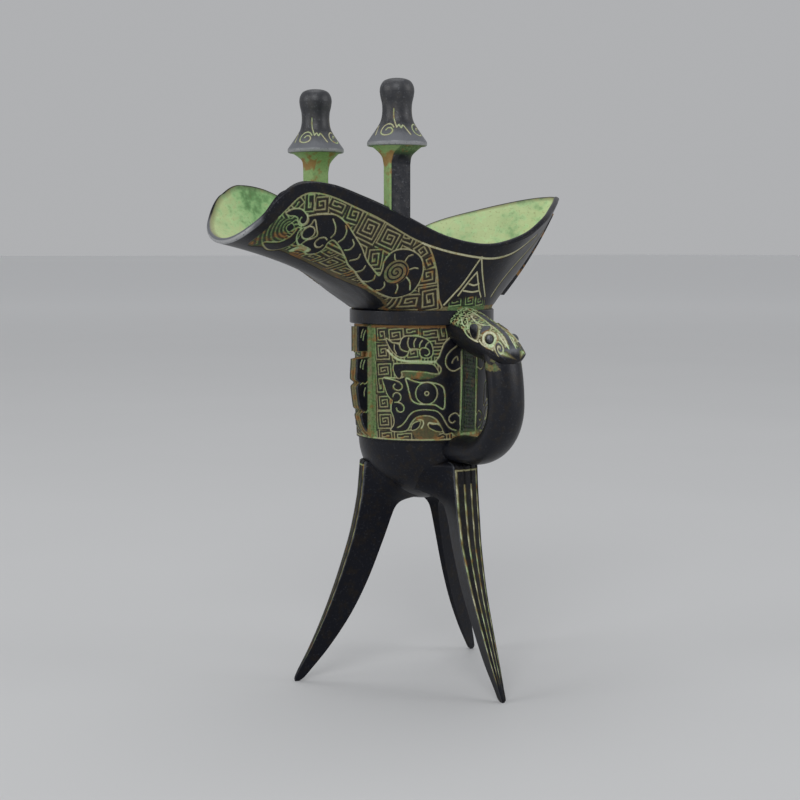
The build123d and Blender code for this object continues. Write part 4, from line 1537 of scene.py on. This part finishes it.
def build_post(name, side, node):
    """A post whose section goes from a rounded rectangle to a circle."""
    turn = np.linspace(0, 2 * math.pi, post_columns)
    rim_order = np.argsort(rim_line[:, 0])
    places = np.zeros((post_rows, post_columns, 3))
    for row, rise in enumerate(np.linspace(0, 1, post_rows)):
        level = post_foot + rise * (cap_base - post_foot)
        flare = np.clip((level - post_head_foot) / (cap_base - post_head_foot), 0, 1)
        half_x = post_half_wide + (post_head_radius - post_half_wide) * flare**2
        half_y = post_half_deep + (post_head_radius - post_half_deep) * flare**1.5
        squareness = post_squareness + (1 - post_squareness) * soft_step(flare, *head_rounding)
        along = half_y * squared(np.sin(turn), squareness)
        narrowing = 1 - post_taper * (1 - flare) * (1 - side * along / half_y)
        x = post_place[0] + half_x * squared(np.cos(turn), squareness) * narrowing
        y = side * (post_place[1] - post_shift * (1 - flare)) + along
        rim_z = np.interp(x, rim_line[rim_order, 0], rim_line[rim_order, 2])
        foot = rim_z - post_sink - hook_deep * soft_step(-side * along, *hook_edge)
        places[row] = np.stack([x, y, foot + rise * (cap_base - foot)], axis=1)
    from_axis = np.abs(places[..., 1]) - post_place[1]
    slant = post_half_wide * post_taper * soft_step(from_axis, *slant_run) * 2
    towards_spout = soft_step(places[..., 0] - slant, *spout_side)
    towards_axis = soft_step(from_axis, *axis_side)
    under_cap = soft_step(places[..., 2], *cap_shade)
    layers = {
        "recess": np.maximum.reduce([towards_spout, towards_axis, under_cap * 0.7]),
        "green": np.full(from_axis.shape, 1.3),
        "wear": np.full(from_axis.shape, 0.46),
        "stain": soft_step(np.abs(places[..., 2] - stain_level), *stain_edge) * towards_spout,
    }
    return wrapped_grid(name, places, layers, carved_bronze, node)


build_post("post_near_flared", -1, "post_near")
build_post("post_far_flared", 1, "post_far")

# %% [markdown]
# ## The flanges
# Three upright ridges divide the cup's zone. A groove runs along each edge, a notch splits it near the
# top, and small hooks are cut into both faces. Each is built along the x axis and then turned to its
# place around the cup.

# %% Build the flanges
flange_root = 23.6
flange_half = 2.3
groove_half = 0.7
face_steps = 44
flange_edge = [(24.3, 92.6), (28.6, 98.4), (31.2, 112.0), (31.0, 121.6)]
flange_pinches = (113.0, 102.6)
pinch_deep = 1.5
pinch_half = 0.8
notch_level = 123.4
flange_notch = [(26.2, 122.4), (26.2, notch_level), (26.2, 124.38)]
flange_top = [(30.6, 124.4), (30.6, 133.4)]
top_steps = 46
# each soft edge is given by the values where it starts and where it is complete
root_shade = (27.0, 26.2)
notch_shade = (1.3, 0.9)
flange_marks = [
    [(26.4, 113.4), (27.4, 112.6), (28.6, 112.9), (29.6, 112.4)],
    [(26.2, 103.0), (27.0, 102.2), (28.2, 102.4), (29.0, 101.9)],
    [(27.3, 131.9), (28.1, 130.2), (28.4, 128.4)],
    [(28.4, 132.4), (29.0, 131.0), (29.3, 129.4)],
    [(27.6, 121.2), (28.3, 119.6), (28.5, 118.0)],
    [(28.8, 121.4), (29.4, 120.2), (29.6, 118.6)],
    [(27.4, 111.2), (27.9, 109.8), (27.9, 108.2)],
]


def flange_row(reach, z):
    """One level of a flange: a face, half of the grooved edge, and the same again mirrored."""
    rounded = min(0.3, (reach - flange_root) / 3)
    groove_floor = reach - min(1.0, (reach - flange_root) / 2)
    shares = np.linspace(0, 1, face_steps)
    face = [(flange_root + (reach - rounded - flange_root) * share, -flange_half) for share in shares]
    brow = [(reach, -flange_half + rounded), (reach, -groove_half), (groove_floor, -groove_half + 0.1)]
    half_row = face + brow
    full_row = half_row + [(place, -side) for place, side in half_row[::-1]]
    return [(place, side, z) for place, side in full_row]


def closed_ring(values):
    """An array whose first column is repeated as its last."""
    return np.concatenate([values, values[:, :1]], axis=1)


def build_flange(name, angle, node):
    """A notched ridge with a groove along its edge, turned to its place around the cup."""
    edge = smooth_line(flange_edge, steps=44)
    for pinch in flange_pinches:
        edge[:, 0] -= pinch_deep * np.exp(-(((edge[:, 1] - pinch) / pinch_half) ** 2))
    rows = np.concatenate([edge, flange_notch, np.linspace(*flange_top, top_steps)])
    places = np.array([flange_row(reach, z) for reach, z in rows])
    carving = Carving(places[..., 0].ravel(), places[..., 2].ravel())
    carving.grooves(flange_marks, wide=0.36, deep=0.3)
    height = carving.height.reshape(places.shape[:2])
    recess = carving.recess.reshape(places.shape[:2]) * 0.95
    on_face = np.abs(places[..., 1]) > flange_half - 0.01
    places[..., 1] += np.where(on_face, height * np.sign(places[..., 1]), 0)
    root = soft_step(places[..., 0], *root_shade) * 0.85
    groove = (np.abs(places[..., 1]) < groove_half + 0.02) * 0.85
    notch = soft_step(np.abs(places[..., 2] - notch_level), *notch_shade) * 0.9
    layers = {
        "recess": np.maximum.reduce([np.where(on_face, recess, 0), root, groove, notch]),
        "wear": np.where((places[..., 0] > rows[:, :1] - 0.4) & (groove == 0), 0.5, 0),
        "stain": np.maximum(notch, groove * 0.4),
        "green": np.where(groove > 0, 0.0, 0.6),
    }
    layers = {key: closed_ring(values) for key, values in layers.items()}
    ring = closed_ring(turned(places, angle))
    return wrapped_grid(name, ring, layers, carved_bronze, node, 45.0)


build_flange("flange_spout_carved", 180, "flange_spout")
build_flange("flange_back_carved", 90, "flange_back")
build_flange("flange_tail_carved", 0, "flange_tail")

# %% [markdown]
# ## The remaining solids
# Pieces whose shape is already right keep their CAD mesh and only get a finish.

# %% Finish the plain solids
def fin_patina(place, cloud):
    """Loose marks of green on the keel under the tail."""
    return cloud.between(0.50, 0.66) * 0.8


bite_places = [(side * 0.0069, -0.0480, 0.1203) for side in (-1, 1)]
bite_radius = 0.0026


def bite_patina(place, cloud):
    """Ragged patches of patina where the beast bites the handle."""
    cover = 0 * cloud
    for centre in bite_places:
        far = place.node("ShaderNodeVectorMath", {"operation": "DISTANCE"}, {0: place, 1: centre}, "Value")
        ragged = far + (cloud - 0.5) * 5 * bite_radius
        cover = cover.most(ragged.between(bite_radius, 0.5 * bite_radius))
    return cover * 0.62


plain_finishes = {
    "tail_fin": bronze("fin_bronze", fin_patina),
    "handle": bronze("handle_bronze", bite_patina, sheen_rough=0.36, gloss=0.34),
}
for name, node in nodes.items():
    node.data.materials.clear()
    node.data.materials.append(plain_finishes.get(name, plain_bronze))
print("plain solids:", len(nodes))
